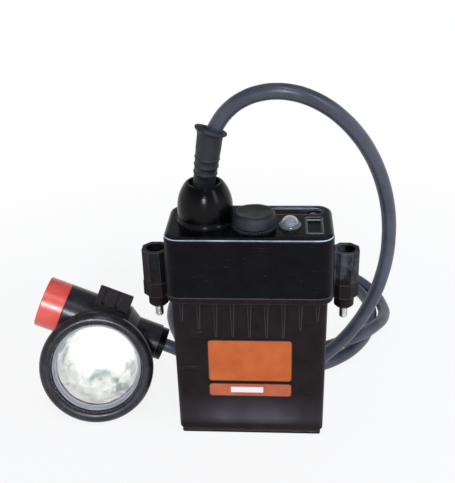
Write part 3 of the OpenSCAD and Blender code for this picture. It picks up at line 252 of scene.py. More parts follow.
# %% World
world = bpy.data.worlds.new("studio")
bpy.context.scene.world = world
world.use_nodes = True
sky = world.node_tree
sky.nodes.clear()
way = put(sky, "TexCoord")
height = put(sky, "SeparateXYZ", {0: way.outputs["Generated"]})
cove = put(sky, "MapRange", {"Value": height.outputs["Z"], "From Min": 0.12, "From Max": 0.5,
                             "To Min": 1.0, "To Max": 0.3}, interpolation_type="SMOOTHSTEP")
plain = put(sky, "Background", {"Color": to_linear("ffffff"), "Strength": cove.outputs[0]})
ambient = put(sky, "Background", {"Color": to_linear("eef2fb"), "Strength": 0.4})
both = put(sky, "MixShader", {0: sees_white(sky), 1: ambient.outputs[0], 2: plain.outputs[0]})
put(sky, "OutputWorld", {"Surface": both.outputs[0]})
print("world", world.name)


# %% Lights
def light(name, kind, place, target, power, **settings):
    """One light that looks at a point."""
    data = bpy.data.lights.new(name, kind)
    data.energy = power
    for key, value in settings.items():
        setattr(data, key, value)
    made = bpy.data.objects.new(name, data)
    made.location = place
    made.rotation_euler = (Vector(target) - Vector(place)).to_track_quat("-Z", "Y").to_euler()
    bpy.context.scene.collection.objects.link(made)
    print(f"{name}: power {power}")


MIDDLE = (-0.02, 0.05, 0.08)
SUN_WIDTH = math.radians(9)  # a wide sun, for soft shadows
light("key_sun", "SUN", (0.02, -1.2, 0.58), MIDDLE, 1.75, angle=SUN_WIDTH, color=to_linear("f2f7ff")[:3])
light("top_sun", "SUN", (0.12, -0.45, 1.1), MIDDLE, 0.6, angle=SUN_WIDTH, color=to_linear("e8f1ff")[:3])
light("window", "AREA", (0.72, -0.46, 0.6), MIDDLE, 2.5, shape="RECTANGLE", size=0.14, size_y=0.6,
      color=to_linear("e6ecff")[:3])

# %% Floor
FLOOR_HALF = 1  # m
FLOOR_GAP = 0.2 * MM

floor_mesh = bpy.data.meshes.new("floor")
floor_mesh.from_pydata([(x * FLOOR_HALF, y * FLOOR_HALF, 0) for x, y in ((-1, -1), (1, -1), (1, 1), (-1, 1))],
                       [], [(0, 1, 2, 3)])
floor = bpy.data.objects.new("floor", floor_mesh)
floor.location.z = cad_low.z - FLOOR_GAP
bpy.context.scene.collection.objects.link(floor)
floor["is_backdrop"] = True

pale = bpy.data.materials.new("pale_floor")
pale.use_nodes = True
tree = pale.node_tree
tree.nodes.clear()
place = put(tree, "TexCoord")
away = put(tree, "VectorMath", {0: place.outputs["Object"]}, operation="LENGTH")
fade = put(tree, "MapRange", {"Value": away.outputs["Value"], "From Min": 0.22, "From Max": 0.6,
                              "To Min": 0.85, "To Max": 1.0}, interpolation_type="SMOOTHSTEP")
share = put(tree, "Math", {0: fade.outputs[0], 1: sees_white(tree)}, operation="MULTIPLY")
matt = put(tree, "BsdfDiffuse", {"Color": to_linear("f4f4f4")})
white = put(tree, "Emission", {"Color": to_linear("ffffff"), "Strength": 1.0})
mixed = put(tree, "MixShader", {0: share.outputs[0], 1: matt.outputs[0], 2: white.outputs[0]})
put(tree, "OutputMaterial", {"Surface": mixed.outputs[0]})
floor.data.materials.append(pale)
bpy.context.scene.view_settings.view_transform = "Standard"
print(f"floor at {floor.location.z / MM:.2f} mm")

# %% [markdown]
# ## How each finish is built
# Every finish starts from the same few nodes. Object coordinates are in metres, so a pattern's size can be
# given in millimetres. A Bevel node rounds the shading of the sharp edges that a tool leaves, because a
# moulded or turned edge is never perfectly sharp and shows as a thin line of light.


# %% Start a finish
def per_mm(size):
    """The scale of a noise whose grains are about this many millimetres across."""
    return 1 / (size * MM)


def start_finish(name, edge_mm, **sockets):
    """A new material: its tree, its shader, object coordinates, and a normal with softened edges."""
    made = bpy.data.materials.new(name)
    made.use_nodes = True
    tree = made.node_tree
    tree.nodes.clear()
    shader = put(tree, "BsdfPrincipled", {key.replace("_", " "): value for key, value in sockets.items()})
    put(tree, "OutputMaterial", {"Surface": shader.outputs[0]})
    place = put(tree, "TexCoord")
    soft = put(tree, "Bevel", {"Radius": edge_mm * MM}, samples=6)
    return made, tree, shader, place.outputs["Object"], soft.outputs["Normal"]


def feed(shader, **sources):
    """Links sockets to a shader's inputs. In an input's name, _ stands for a space."""
    for name, source in sources.items():
        shader.id_data.links.new(source, shader.inputs[name.replace("_", " ")])


COLOUR_A, COLOUR_B, COLOUR_OUT = 6, 7, 2  # a Mix node's sockets when it mixes colours
VALUE_A, VALUE_B = 2, 3  # and its inputs when it mixes plain values


def two_tones(factor, low, high):
    """The inputs that take a Mix node from one colour to the other. Each is sRGB hex or a socket."""
    low, high = (to_linear(tone) if isinstance(tone, str) else tone for tone in (low, high))
    return {"Factor": factor, COLOUR_A: low, COLOUR_B: high}


# %% [markdown]
# ## Cable rubber
# The sheath is extruded chloroprene rubber: blue-grey, satin, and smooth along its length. Handling leaves
# paler, drier patches a few centimetres long. The extruder leaves a grain that is far too fine to show,
# so it is drawn here at 0.8 mm.

# %% Finish: extruded rubber
extruded_rubber, tree, shader, place, soft = start_finish("extruded_rubber", 0.3, IOR=1.5,
                                                          Specular_IOR_Level=0.5)
patches = put(tree, "TexNoise", {"Vector": place, "Scale": per_mm(26), "Detail": 4.0, "Roughness": 0.6})
tone = put(tree, "MapRange", {"Value": patches.outputs["Fac"], "From Min": 0.35, "From Max": 0.7})
shade = put(tree, "Mix", two_tones(tone.outputs[0], "2f333f", "4a4e5b"), data_type="RGBA")
dry = put(tree, "MapRange", {"Value": patches.outputs["Fac"], "From Min": 0.3, "From Max": 0.7,
                             "To Min": 0.3, "To Max": 0.46})
grain = put(tree, "TexNoise", {"Vector": place, "Scale": per_mm(0.8), "Detail": 3.0})
bump = put(tree, "Bump", {"Height": grain.outputs["Fac"], "Strength": 0.25, "Distance": 0.08 * MM,
                          "Normal": soft})
feed(shader, Base_Color=shade.outputs[COLOUR_OUT], Roughness=dry.outputs[0], Normal=bump.outputs[0])
cable.data.materials.append(extruded_rubber)
print("finish", extruded_rubber.name)

# %% [markdown]
# ## Boot
# The boot is a tapered rubber sleeve that keeps the cable from bending sharply where it leaves the dome.
# A round piece like this could be drawn as a curve and spun with the Screw modifier. Mesh code that turns
# an outline is as short, and lets the lip be a little uneven, as soft moulded rubber is.
# The outline runs up the outside, over the lip, and down the funnel that the cable comes out of. The
# boot's foot is a second outline, which stays upright in the dome where the sleeve leans.


# %% Turn an outline into a piece
def lathe(mesh, outline, place, around=72, sway=None):
    """Turns an outline of (radius, height) in mm about an upright axis, and puts it in its place.

    sway gives a point of the outline another radius and height at each turn."""
    rings = []
    for radius, height in outline:
        ring = []
        for k in range(around if radius else 1):
            turn = math.tau * k / around
            r, z = sway(radius, height, turn) if sway else (radius, height)
            ring.append(mesh.verts.new(place @ (Vector((r * math.cos(turn), r * math.sin(turn), z)) * MM)))
        rings.append(ring)
    for low, high in zip(rings, rings[1:]):
        for k in range(around):
            n = (k + 1) % around
            # At a point on the axis two corners are one, and the face is a triangle
            corners = [low[k % len(low)], low[n % len(low)], high[n % len(high)], high[k % len(high)]]
            corners = list(dict.fromkeys(corners))
            if len(corners) > 2:
                mesh.faces.new(corners)
    return mesh


def add_piece(name, mesh, body, finish):
    """Makes an object from a bmesh, rides it on a body, and gives it its finish."""
    bmesh.ops.recalc_face_normals(mesh, faces=mesh.faces)
    data = bpy.data.meshes.new(name)
    mesh.to_mesh(data)
    mesh.free()
    data.shade_smooth()
    data.materials.append(finish)
    made = bpy.data.objects.new(name, data)
    bpy.context.scene.collection.objects.link(made)
    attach(made, body)
    print(f"{name}: {len(data.polygons)} faces on {body}")
    return made


# %% [markdown]
# The boot and the charging cap are moulded nitrile rubber. It is charcoal rather than black, with a dusty
# bloom in patches a centimetre wide. Where the bloom is worn off it is darker and a little shinier.
# The mould's grain is about 0.4 mm.

# %% Finish: moulded rubber
moulded_rubber, tree, shader, place, soft = start_finish("moulded_rubber", 0.35, IOR=1.5,
                                                         Specular_IOR_Level=0.35)
bloom = put(tree, "TexNoise", {"Vector": place, "Scale": per_mm(11), "Detail": 5.0, "Roughness": 0.65})
tone = put(tree, "MapRange", {"Value": bloom.outputs["Fac"], "From Min": 0.36, "From Max": 0.68})
shade = put(tree, "Mix", two_tones(tone.outputs[0], "15181d", "2a2c32"), data_type="RGBA")
worn = put(tree, "MapRange", {"Value": bloom.outputs["Fac"], "From Min": 0.3, "From Max": 0.7,
                              "To Min": 0.42, "To Max": 0.66})
grain = put(tree, "TexNoise", {"Vector": place, "Scale": per_mm(0.4), "Detail": 2.0})
bump = put(tree, "Bump", {"Height": grain.outputs["Fac"], "Strength": 0.3, "Distance": 0.06 * MM,
                          "Normal": soft})
feed(shader, Base_Color=shade.outputs[COLOUR_OUT], Roughness=worn.outputs[0], Normal=bump.outputs[0])
print("finish", moulded_rubber.name)

# %% Boot
BOOT_RINGS = (7, 12, 17)
WALL_FOOT = 7.0  # radius
WALL_GAIN, WALL_RISE = 0.9, 28.8  # what the radius gains, and in what height
boot_outline = [(0, -13), (6.6, -13), (WALL_FOOT, -4), (WALL_FOOT, 2)]
for height in BOOT_RINGS:
    wall = WALL_FOOT + WALL_GAIN * height / WALL_RISE
    boot_outline += [(wall - 0.12, height - 0.6), (wall + 0.32, height - 0.3), (wall + 0.4, height),
                     (wall + 0.25, height + 0.4), (wall + 0.05, height + 1.1), (wall, height + 1.6)]
boot_outline += [(7.8, 23), (7.85, 29.5), (7.95, 31.6), (8.3, 32.7), (9.1, 33.4), (9.8, 33.9), (10.0, 34.5),
                 (9.9, 35.1), (9.4, 35.6), (8.8, 36.0), (8.2, 36.1), (7.5, 35.6), (6.9, 33.5), (6.3, 28),
                 (5.8, 22), (5.45, 16), (5.3, FUNNEL_FLOOR), (0, FUNNEL_FLOOR)]


LIP_START, LIP_SPAN = 30, 5  # heights: the unevenness begins at the first and is full after the second
LIP_OVAL, LIP_BULGE = 0.012, 0.02  # parts of the radius
LIP_WAVE, LIP_DROP_X, LIP_DROP_Y = 0.35, 1.3, 2.2  # mm


def soft_lip(radius, height, turn):
    """The lip of the boot isn't quite round and not quite level."""
    near_lip = eased((height - LIP_START) / LIP_SPAN)
    wider = LIP_OVAL * math.cos(2 * turn + 0.6) + LIP_BULGE * math.cos(turn) ** 3
    higher = LIP_WAVE * math.sin(turn * 2 + 1) - LIP_DROP_X * math.cos(turn) - LIP_DROP_Y * math.sin(turn)
    return radius * (1 + near_lip * wider), height + near_lip * higher


BOOT_FOOT_PLACE = (-0.028, 0.0035, 0.1592)
boot = lathe(bmesh.new(), boot_outline, BOOT, sway=soft_lip)
boot_foot = [(0, 0), (8.2, 0), (8.55, 0.5), (8.6, 4), (8.45, 6.6), (7.9, 7.7), (7.0, 8), (0, 8)]
lathe(boot, boot_foot, Matrix.Translation(BOOT_FOOT_PLACE))
boot = add_piece("boot_sleeve", boot, "lamp", moulded_rubber)
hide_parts("cable_boot")

# %% [markdown]
# ## Charging cap
# A soft cap closes the charging socket. Its top is a little dished and its edge is rounded. The same lathe
# makes it, and a slow noise gives the dents that a soft top has.

# %% Charging cap
CAP_PLACE = Matrix.Translation((0.0032, -0.0072, 0.153))
cap_outline = [(11.1, 0), (13.1, 0), (13.6, 0.25), (13.8, 0.8), (13.8, 1.6), (13.65, 3.4), (13.45, 5.0),
               (13.2, 6.1), (12.7, 7.1), (11.9, 7.7), (10.9, 7.9), (9.4, 7.75), (7.4, 7.45), (5, 7.25),
               (2.5, 7.15), (0, 7.1), (0, 5.4), (11.1, 5.4), (11.1, 0)]
DENT_WIDTH, DENT_DEPTH = 9, 0.45  # mm
DENT_START = Vector((3.1, 7.7, 1.3))  # where in the noise the cap lies
DENT_FOOT, DENT_RISE = 5.6, 1.5  # mm: the dents begin above the first and are full after the second


def dented(radius, height, turn):
    """Slow dents in the cap's top, none at its foot."""
    spot = Vector((radius * math.cos(turn), radius * math.sin(turn), height)) / DENT_WIDTH
    give = DENT_DEPTH * noise.noise(spot + DENT_START) * eased((height - DENT_FOOT) / DENT_RISE)
    return radius, height + give


cap = add_piece("charging_cap", lathe(bmesh.new(), cap_outline, CAP_PLACE, sway=dented), "cap",
                moulded_rubber)
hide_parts("socket_cap")

# %% [markdown]
# ## Case
# The case is injection-moulded ABS with a fine spark-eroded texture: black with a faint brown cast, and
# satin, so that light from the front lies on it as a soft grey patch. Its corners are rubbed smooth and
# pale, which also paints a highlight along its edges, and it has hairline scratches. Low in the middle of
# the front it is painted a paler, bluish grey.


# %% Scratches, which the plastics share
def hairlines(tree, place, size, turned):
    """Thin random scratches, one stretched noise cut down to narrow lines: 1 on them and 0 beside them."""
    along = put(tree, "Mapping", {"Vector": place, "Rotation": turned, "Scale": (0.06, 1.0, 1.0)})
    waves = put(tree, "TexNoise", {"Vector": along.outputs[0], "Scale": per_mm(size), "Detail": 2.0,
                                   "Distortion": 0.4})
    off = put(tree, "Math", {0: waves.outputs["Fac"], 1: 0.5}, operation="SUBTRACT")
    off = put(tree, "Math", {0: off.outputs[0]}, operation="ABSOLUTE")
    line = put(tree, "MapRange", {"Value": off.outputs[0], "From Min": 0.0, "From Max": 0.006,
                                  "To Min": 1.0, "To Max": 0.0})
    where = put(tree, "TexNoise", {"Vector": place, "Scale": per_mm(size * 3), "Detail": 1.0})
    here = put(tree, "MapRange", {"Value": where.outputs["Fac"], "From Min": 0.56, "From Max": 0.66})
    return put(tree, "Math", {0: line.outputs[0], 1: here.outputs[0]}, operation="MULTIPLY").outputs[0]


def rubbed_and_highlit_edges(tree, soft):
    """1 on an edge and 0 on a flat: how far the softened normal leans from the surface's own."""
    own = put(tree, "NewGeometry")
    same = put(tree, "VectorMath", {0: soft, 1: own.outputs["Normal"]}, operation="DOT_PRODUCT")
    worn = put(tree, "MapRange", {"Value": same.outputs["Value"], "From Min": 0.995, "From Max": 0.9})
    return worn.outputs[0]


# %% Finish: moulded ABS
moulded_abs, tree, shader, place, soft = start_finish("moulded_abs", 0.7, IOR=1.53, Specular_IOR_Level=0.1)
dust = put(tree, "TexNoise", {"Vector": place, "Scale": per_mm(16), "Detail": 6.0, "Roughness": 0.7})
tone = put(tree, "MapRange", {"Value": dust.outputs["Fac"], "From Min": 0.38, "From Max": 0.7})
base = put(tree, "Mix", two_tones(tone.outputs[0], "150f11", "211719"), data_type="RGBA")
# Paler and bluish grey low in the middle of the front, fading out towards the sides and at the foot
axes = put(tree, "SeparateXYZ", {0: place})
low_down = put(tree, "MapRange", {"Value": axes.outputs["Z"], "From Min": 34 * MM, "From Max": 6 * MM})
cloud = put(tree, "TexNoise", {"Vector": place, "Scale": per_mm(22), "Detail": 1.5})
cloud = put(tree, "MapRange", {"Value": cloud.outputs["Fac"], "From Min": 0.35, "From Max": 0.65,
                               "To Min": 0.7})
pale_low_middle = put(tree, "Math", {0: low_down.outputs[0], 1: cloud.outputs[0]}, operation="MULTIPLY")
above_foot = put(tree, "MapRange", {"Value": axes.outputs["Z"], "From Min": 8 * MM, "From Max": 14 * MM,
                                    "To Min": 0.0, "To Max": 0.9})
pale_low_middle = put(tree, "Math", {0: pale_low_middle.outputs[0], 1: above_foot.outputs[0]}, operation="MULTIPLY")
sideways = put(tree, "Math", {0: axes.outputs["X"]}, operation="ABSOLUTE")
middle = put(tree, "MapRange", {"Value": sideways.outputs[0], "From Min": 18 * MM, "From Max": 36 * MM,
                                "To Min": 1.0, "To Max": 0.3})
pale_low_middle = put(tree, "Math", {0: pale_low_middle.outputs[0], 1: middle.outputs[0]}, operation="MULTIPLY")
base = put(tree, "Mix", two_tones(pale_low_middle.outputs[0], base.outputs[COLOUR_OUT], "5b5860"), data_type="RGBA")
# Rubbed edges are paler: wear, and also a painted highlight along every edge
edge = rubbed_and_highlit_edges(tree, soft)
lines = hairlines(tree, place, 7, (0.2, 0.5, 1.1))
lines = put(tree, "Math", {0: lines, 1: 0.5}, operation="MULTIPLY")
marked = put(tree, "Math", {0: edge, 1: lines.outputs[0]}, operation="MAXIMUM")
marked = put(tree, "Math", {0: marked.outputs[0], 1: 0.6}, operation="MULTIPLY")
shade = put(tree, "Mix", two_tones(marked.outputs[0], base.outputs[COLOUR_OUT], "5c5458"), data_type="RGBA")
satin = put(tree, "MapRange", {"Value": dust.outputs["Fac"], "From Min": 0.3, "From Max": 0.7,
                               "To Min": 0.36, "To Max": 0.5})
smooth = put(tree, "Mix", {"Factor": edge, VALUE_A: satin.outputs[0], VALUE_B: 0.26})
grain = put(tree, "TexNoise", {"Vector": place, "Scale": per_mm(0.5), "Detail": 3.0})
bump = put(tree, "Bump", {"Height": grain.outputs["Fac"], "Strength": 0.35, "Distance": 0.07 * MM,
                          "Normal": soft})
feed(shader, Base_Color=shade.outputs[COLOUR_OUT], Roughness=smooth.outputs[0], Normal=bump.outputs[0])


def dress(finish, *names):
    """Gives CAD nodes a finish."""
    for name in names:
        data = NODES[name].data
        data.materials.clear()
        data.materials.append(finish)
    print(f"{finish.name}: {', '.join(names)}")


dress(moulded_abs, "battery_case", "cap_hook")

# %% [markdown]
# ## Cover, dome and headpiece
# These are black polycarbonate from a polished mould. The surface is glossy, with a faint orange-peel wave
# a few millimetres long that makes reflections swim, and fingerprints that dull it in patches. Edges are
# rubbed to a pale line, which is also a painted highlight, and single specks of dust lie on it. A painted
# highlight runs as a pale bluish line along the cover's rounded front edge. The headpiece's black is worn
# greyer, and the lugs are the dullest of all, with painted light that leaves them darker on the left and
# paler towards the right.


# %% Finish: polished polycarbonate
def polished(name, edge_mm, low, high, rubbed_and_highlit, gloss_low, gloss_high, level, across=None, highlight_height=None):
    """Polished black plastic: two tones, the tone of rubbed edges, which is also a painted highlight along
    them, and a range of roughness.

    across gives two x values, in mm, over which a painted light fades the tones in, darker on the left and
    paler towards the right. rim is the height, in mm, of a painted highlight: a pale bluish line on faces
    that lean to the front."""
    made, tree, shader, place, soft = start_finish(name, edge_mm, IOR=1.5, Specular_IOR_Level=level)
    smudge = put(tree, "TexNoise", {"Vector": place, "Scale": per_mm(14), "Detail": 5.0, "Roughness": 0.62})
    tone = put(tree, "MapRange", {"Value": smudge.outputs["Fac"], "From Min": 0.4, "From Max": 0.72})
    axes = put(tree, "SeparateXYZ", {0: place})
    if across:
        side = put(tree, "MapRange", {"Value": axes.outputs["X"], "From Min": across[0] * MM,
                                      "From Max": across[1] * MM, "To Min": 0.1})
        tone = put(tree, "Math", {0: tone.outputs[0], 1: side.outputs[0]}, operation="MULTIPLY")
    base = put(tree, "Mix", two_tones(tone.outputs[0], low, high), data_type="RGBA")
    lines = hairlines(tree, place, 5, (0.9, 0.3, 0.5))
    lines = put(tree, "Math", {0: lines, 1: 0.12}, operation="MULTIPLY")
    # Pale rubbed edges, which are also a painted highlight, with faint hairlines
    marked = put(tree, "Math", {0: rubbed_and_highlit_edges(tree, soft), 1: lines.outputs[0]}, operation="MAXIMUM")
    marked = put(tree, "Math", {0: marked.outputs[0], 1: 0.65}, operation="MULTIPLY")
    speck = put(tree, "TexVoronoi", {"Vector": place, "Scale": per_mm(5)})
    dot = put(tree, "MapRange", {"Value": speck.outputs["Distance"], "From Min": 0.02, "From Max": 0.04,
                                 "To Min": 0.7, "To Max": 0.0})
    marked = put(tree, "Math", {0: marked.outputs[0], 1: dot.outputs[0]}, operation="MAXIMUM")
    shade = put(tree, "Mix", two_tones(marked.outputs[0], base.outputs[COLOUR_OUT], rubbed_and_highlit), data_type="RGBA")
    if highlight_height:
        # A painted highlight: a pale bluish line at one height, on faces that lean to the front, towards the
        # lamps
        off = put(tree, "Math", {0: axes.outputs["Z"], 1: highlight_height * MM}, operation="SUBTRACT")
        off = put(tree, "Math", {0: off.outputs[0]}, operation="ABSOLUTE")
        line = put(tree, "MapRange", {"Value": off.outputs[0], "From Min": 0.17 * MM, "From Max": 0.3 * MM,
                                      "To Min": 1.0, "To Max": 0.0})
        faces = put(tree, "NewGeometry")
        faces = put(tree, "SeparateXYZ", {0: faces.outputs["True Normal"]})
        leans = put(tree, "MapRange", {"Value": faces.outputs["Y"], "From Min": -0.1, "From Max": -0.18})
        line = put(tree, "Math", {0: line.outputs[0], 1: leans.outputs[0]}, operation="MULTIPLY")
        bare = put(tree, "MapRange", {"Value": smudge.outputs["Fac"], "From Min": 0.35, "From Max": 0.6,
                                      "To Min": 0.45, "To Max": 1.0})
        line = put(tree, "Math", {0: line.outputs[0], 1: bare.outputs[0]}, operation="MULTIPLY")
        shade = put(tree, "Mix", two_tones(line.outputs[0], shade.outputs[COLOUR_OUT], "ccd5e2"),
                    data_type="RGBA")
    gloss = put(tree, "MapRange", {"Value": smudge.outputs["Fac"], "From Min": 0.35, "From Max": 0.7,
                                   "To Min": gloss_low, "To Max": gloss_high})
    peel = put(tree, "TexNoise", {"Vector": place, "Scale": per_mm(3.5), "Detail": 1.0})
    wave = put(tree, "Bump", {"Height": peel.outputs["Fac"], "Strength": 0.2, "Distance": 0.12 * MM,
                              "Normal": soft})
    feed(shader, Base_Color=shade.outputs[COLOUR_OUT], Roughness=gloss.outputs[0], Normal=wave.outputs[0])
    return made


# The cover's painted highlight runs along its rounded front edge, 149.78 mm up
cover_pc = polished("polished_polycarbonate", 1.0, "070708", "101013", "7c8390", 0.16, 0.26, 0.08, highlight_height=149.78)
small_pc = polished("polished_polycarbonate_small", 0.45, "030304", "0a0a0c", "6c727e", 0.18, 0.28, 0.13)
# The lugs get painted light: their tone fades in across x from -30 to 60 mm, darker on the left, paler to the
# right
dull_pc = polished("dulled_polycarbonate", 0.45, "0a0809", "5c5b64", "7a7a82", 0.3, 0.45, 0.14,
                   across=(-30, 60))
worn_pc = polished("worn_polycarbonate", 0.45, "18171b", "302f35", "6a6970", 0.2, 0.32, 0.36)
dress(cover_pc, "battery_cover")
dress(small_pc, "cable_dome", "charge_socket", "gland_nut")
dress(dull_pc, "cover_lugs")
dress(worn_pc, "head_housing", "bezel_ring")

# %% [markdown]
# ## Rubber that stays hidden or nearly so
# The sealing strip, the shaft's seal and the gland's bush use the same rubber as the boot. The lens sits on
# a silicone gasket of its own: dull and pinkish grey, and paler in places.

# %% Seals
dress(moulded_rubber, "case_gasket", "shaft_seal", "gland_bush")
silicone, tree, shader, place, soft = start_finish("silicone_gasket", 0.2, IOR=1.41, Specular_IOR_Level=0.4,
                                                   Roughness=0.6)
stain_and_dark_reflection = put(tree, "TexNoise", {"Vector": place, "Scale": per_mm(6), "Detail": 4.0})
shade = put(tree, "Mix", two_tones(stain_and_dark_reflection.outputs["Fac"], "ab9496", "cfc3c4"), data_type="RGBA")
fine = put(tree, "TexNoise", {"Vector": place, "Scale": per_mm(0.7), "Detail": 2.0})
bump = put(tree, "Bump", {"Height": fine.outputs["Fac"], "Strength": 0.3, "Distance": 0.05 * MM,
                          "Normal": soft})
feed(shader, Base_Color=shade.outputs[COLOUR_OUT], Normal=bump.outputs[0])
dress(silicone, "lens_gasket")

# %% [markdown]
# ## Metals
# Bolts, washers, screws and the socket's nut are steel with a zinc plate: pale grey, with a mottled crystal
# pattern about a millimetre wide. Inserts, pins, the boot's clamp and the switch's shaft are turned brass,
# with fine rings from the tool. The heat sink, the emitter's board and the strips that join the cells are
# plain aluminium. A metal's colour is its reflection, so metallic is 1 and the IOR stays as it is.


# %% Finishes: zinc plate, turned brass, cast aluminium
def metal(name, low, high, mottle, rough_low, rough_high, scale=(1, 1, 1)):
    """A metal whose tone and roughness wander together over mottles of a given size in mm."""
    made, tree, shader, place, soft = start_finish(name, 0.12, Metallic=1.0)
    stretched = put(tree, "Mapping", {"Vector": place, "Scale": scale})
    spots = put(tree, "TexNoise", {"Vector": stretched.outputs[0], "Scale": per_mm(mottle), "Detail": 4.0})
    shade = put(tree, "Mix", two_tones(spots.outputs["Fac"], low, high), data_type="RGBA")
    rough = put(tree, "MapRange", {"Value": spots.outputs["Fac"], "From Min": 0.3, "From Max": 0.7,
                                   "To Min": rough_low, "To Max": rough_high})
    bump = put(tree, "Bump", {"Height": spots.outputs["Fac"], "Strength": 0.25, "Distance": 0.04 * MM,
                              "Normal": soft})
    feed(shader, Base_Color=shade.outputs[COLOUR_OUT], Roughness=rough.outputs[0], Normal=bump.outputs[0])
    return made


zinc_plate = metal("zinc_plate", "a9abad", "d6d4cf", 1.0, 0.22, 0.4)
turned_brass = metal("turned_brass", "a98443", "d1ab62", 0.8, 0.25, 0.4, scale=(1, 1, 6))
cast_aluminium = metal("cast_aluminium", "b4b7b9", "dadcdd", 1.6, 0.3, 0.5)
dress(zinc_plate, "cover_bolts", "bolt_washers", "seal_screw", "socket_nut", "knob_screw", "hook_screws")
dress(turned_brass, "bolt_inserts", "boot_clamp", "socket_pins", "switch_shaft")
dress(cast_aluminium, "cell_strips", "emitter_board", "heat_sink")

# %% [markdown]
# ## Red knob
# The switch's knob is moulded in red acetal, a waxy, satin plastic. A little light goes into it before it
# comes out, which keeps its shaded side warm. The mould leaves a very fine grain, drawn at 0.6 mm.

# %% Finish: red acetal
red_acetal, tree, shader, place, soft = start_finish("red_acetal", 0.5, IOR=1.55, Specular_IOR_Level=0.75,
                                                     Subsurface_Weight=0.08, Subsurface_Scale=1.2 * MM)
wear = put(tree, "TexNoise", {"Vector": place, "Scale": per_mm(9), "Detail": 5.0, "Roughness": 0.6})
tone = put(tree, "MapRange", {"Value": wear.outputs["Fac"], "From Min": 0.35, "From Max": 0.7})
shade = put(tree, "Mix", two_tones(tone.outputs[0], "dd4436", "ea5848"), data_type="RGBA")
satin = put(tree, "MapRange", {"Value": wear.outputs["Fac"], "From Min": 0.3, "From Max": 0.7,
                               "To Min": 0.26, "To Max": 0.36})
grain = put(tree, "TexNoise", {"Vector": place, "Scale": per_mm(0.6), "Detail": 2.0})
bump = put(tree, "Bump", {"Height": grain.outputs["Fac"], "Strength": 0.2, "Distance": 0.05 * MM,
                          "Normal": soft})
feed(shader, Base_Color=shade.outputs[COLOUR_OUT], Roughness=satin.outputs[0], Normal=bump.outputs[0])
dress(red_acetal, "switch_knob")

# %% [markdown]
# ## Plates
# The two plates are thin film, printed orange and left bare here. A dark printed border with round corners
# and a slightly wavy, satin surface make them film rather than paint. The lower plate has a white field.
# Each field is measured in millimetres, in object coordinates.


# %% Finish: printed film
FILM_BORDER, FILM_CORNER, FIELD_CORNER = 0.6, 2.2, 0.5  # mm
BORDER_FADE, FIELD_FADE = 0.3, 0.25  # mm over which the print's borders fade


def field_mask(tree, place, centre, size, corner, soft_mm):
    """1 inside a round-cornered field seen from the front, fading over soft_mm at its border."""
    axes = put(tree, "SeparateXYZ", {0: place})
    past = []
    for axis, middle, whole in (("X", centre[0], size[0]), ("Z", centre[1], size[1])):
        off = put(tree, "Math", {0: axes.outputs[axis], 1: middle * MM}, operation="SUBTRACT")
        off = put(tree, "Math", {0: off.outputs[0]}, operation="ABSOLUTE")
        off = put(tree, "Math", {0: off.outputs[0], 1: (whole / 2 - corner) * MM}, operation="SUBTRACT")
        past.append(put(tree, "Math", {0: off.outputs[0], 1: 0.0}, operation="MAXIMUM").outputs[0])
    both = put(tree, "CombineXYZ", {0: past[0], 1: past[1]})
    far = put(tree, "VectorMath", {0: both.outputs[0]}, operation="LENGTH")
    return put(tree, "MapRange", {"Value": far.outputs["Value"], "From Min": (corner - soft_mm) * MM,
                                  "From Max": corner * MM, "To Min": 1.0, "To Max": 0.0}).outputs[0]


def printed_film(name, low, high, centre, size, field=None):
    """Printed film with its dark border line, and a white field where there is one."""
    made, tree, shader, place, soft = start_finish(name, 0.25, IOR=1.5, Specular_IOR_Level=0.3)
    fade = put(tree, "TexNoise", {"Vector": place, "Scale": per_mm(13), "Detail": 4.0})
    tone = put(tree, "MapRange", {"Value": fade.outputs["Fac"], "From Min": 0.35, "From Max": 0.68})
    shade = put(tree, "Mix", two_tones(tone.outputs[0], low, high), data_type="RGBA").outputs[COLOUR_OUT]
    if field:
        here = field_mask(tree, place, *field, FIELD_CORNER, FIELD_FADE)
        shade = put(tree, "Mix", two_tones(here, shade, "e6e0de"), data_type="RGBA").outputs[COLOUR_OUT]
    inside = (size[0] - 2 * FILM_BORDER, size[1] - 2 * FILM_BORDER)
    inner = field_mask(tree, place, centre, inside, FILM_CORNER, BORDER_FADE)
    shade = put(tree, "Mix", two_tones(inner, "1e1315", shade), data_type="RGBA").outputs[COLOUR_OUT]
    rough = put(tree, "MapRange", {"Value": fade.outputs["Fac"], "To Min": 0.3, "To Max": 0.5})
    wave = put(tree, "TexNoise", {"Vector": place, "Scale": per_mm(5), "Detail": 2.0})
    bump = put(tree, "Bump", {"Height": wave.outputs["Fac"], "Strength": 0.2, "Distance": 0.1 * MM,
                              "Normal": soft})
    feed(shader, Base_Color=shade, Roughness=rough.outputs[0], Normal=bump.outputs[0])
    return made


dress(printed_film("printed_film_upper", "b4531f", "c3602f", (0, 61.0), (55.6, 32.8)), "label_plate")
dress(printed_film("printed_film_lower", "aa5435", "bb603f", (0, 37.8), (55.6, 11.0),
                   field=((-2.2, 37.95), (21.8, 4.7))), "serial_plate")

# %% [markdown]
# ## Clear pieces and the light
# The headpiece's lens is flat tempered glass with no colour of its own. The indicator's is acrylic, a little
# grey and less clear, with a small light of milky resin under it. A thin film of dirt makes both lenses
# hazy in patches. The reflector is aluminium evaporated on plastic. It is dull, so it spreads the light
# instead of showing an image. Its colour holds painted reflections: grey and pale clouds a centimetre or two
# wide, and a dark painted reflection just below the emitter.
# The lamp is on: its emitter is a dome of phosphor resin that glows white.

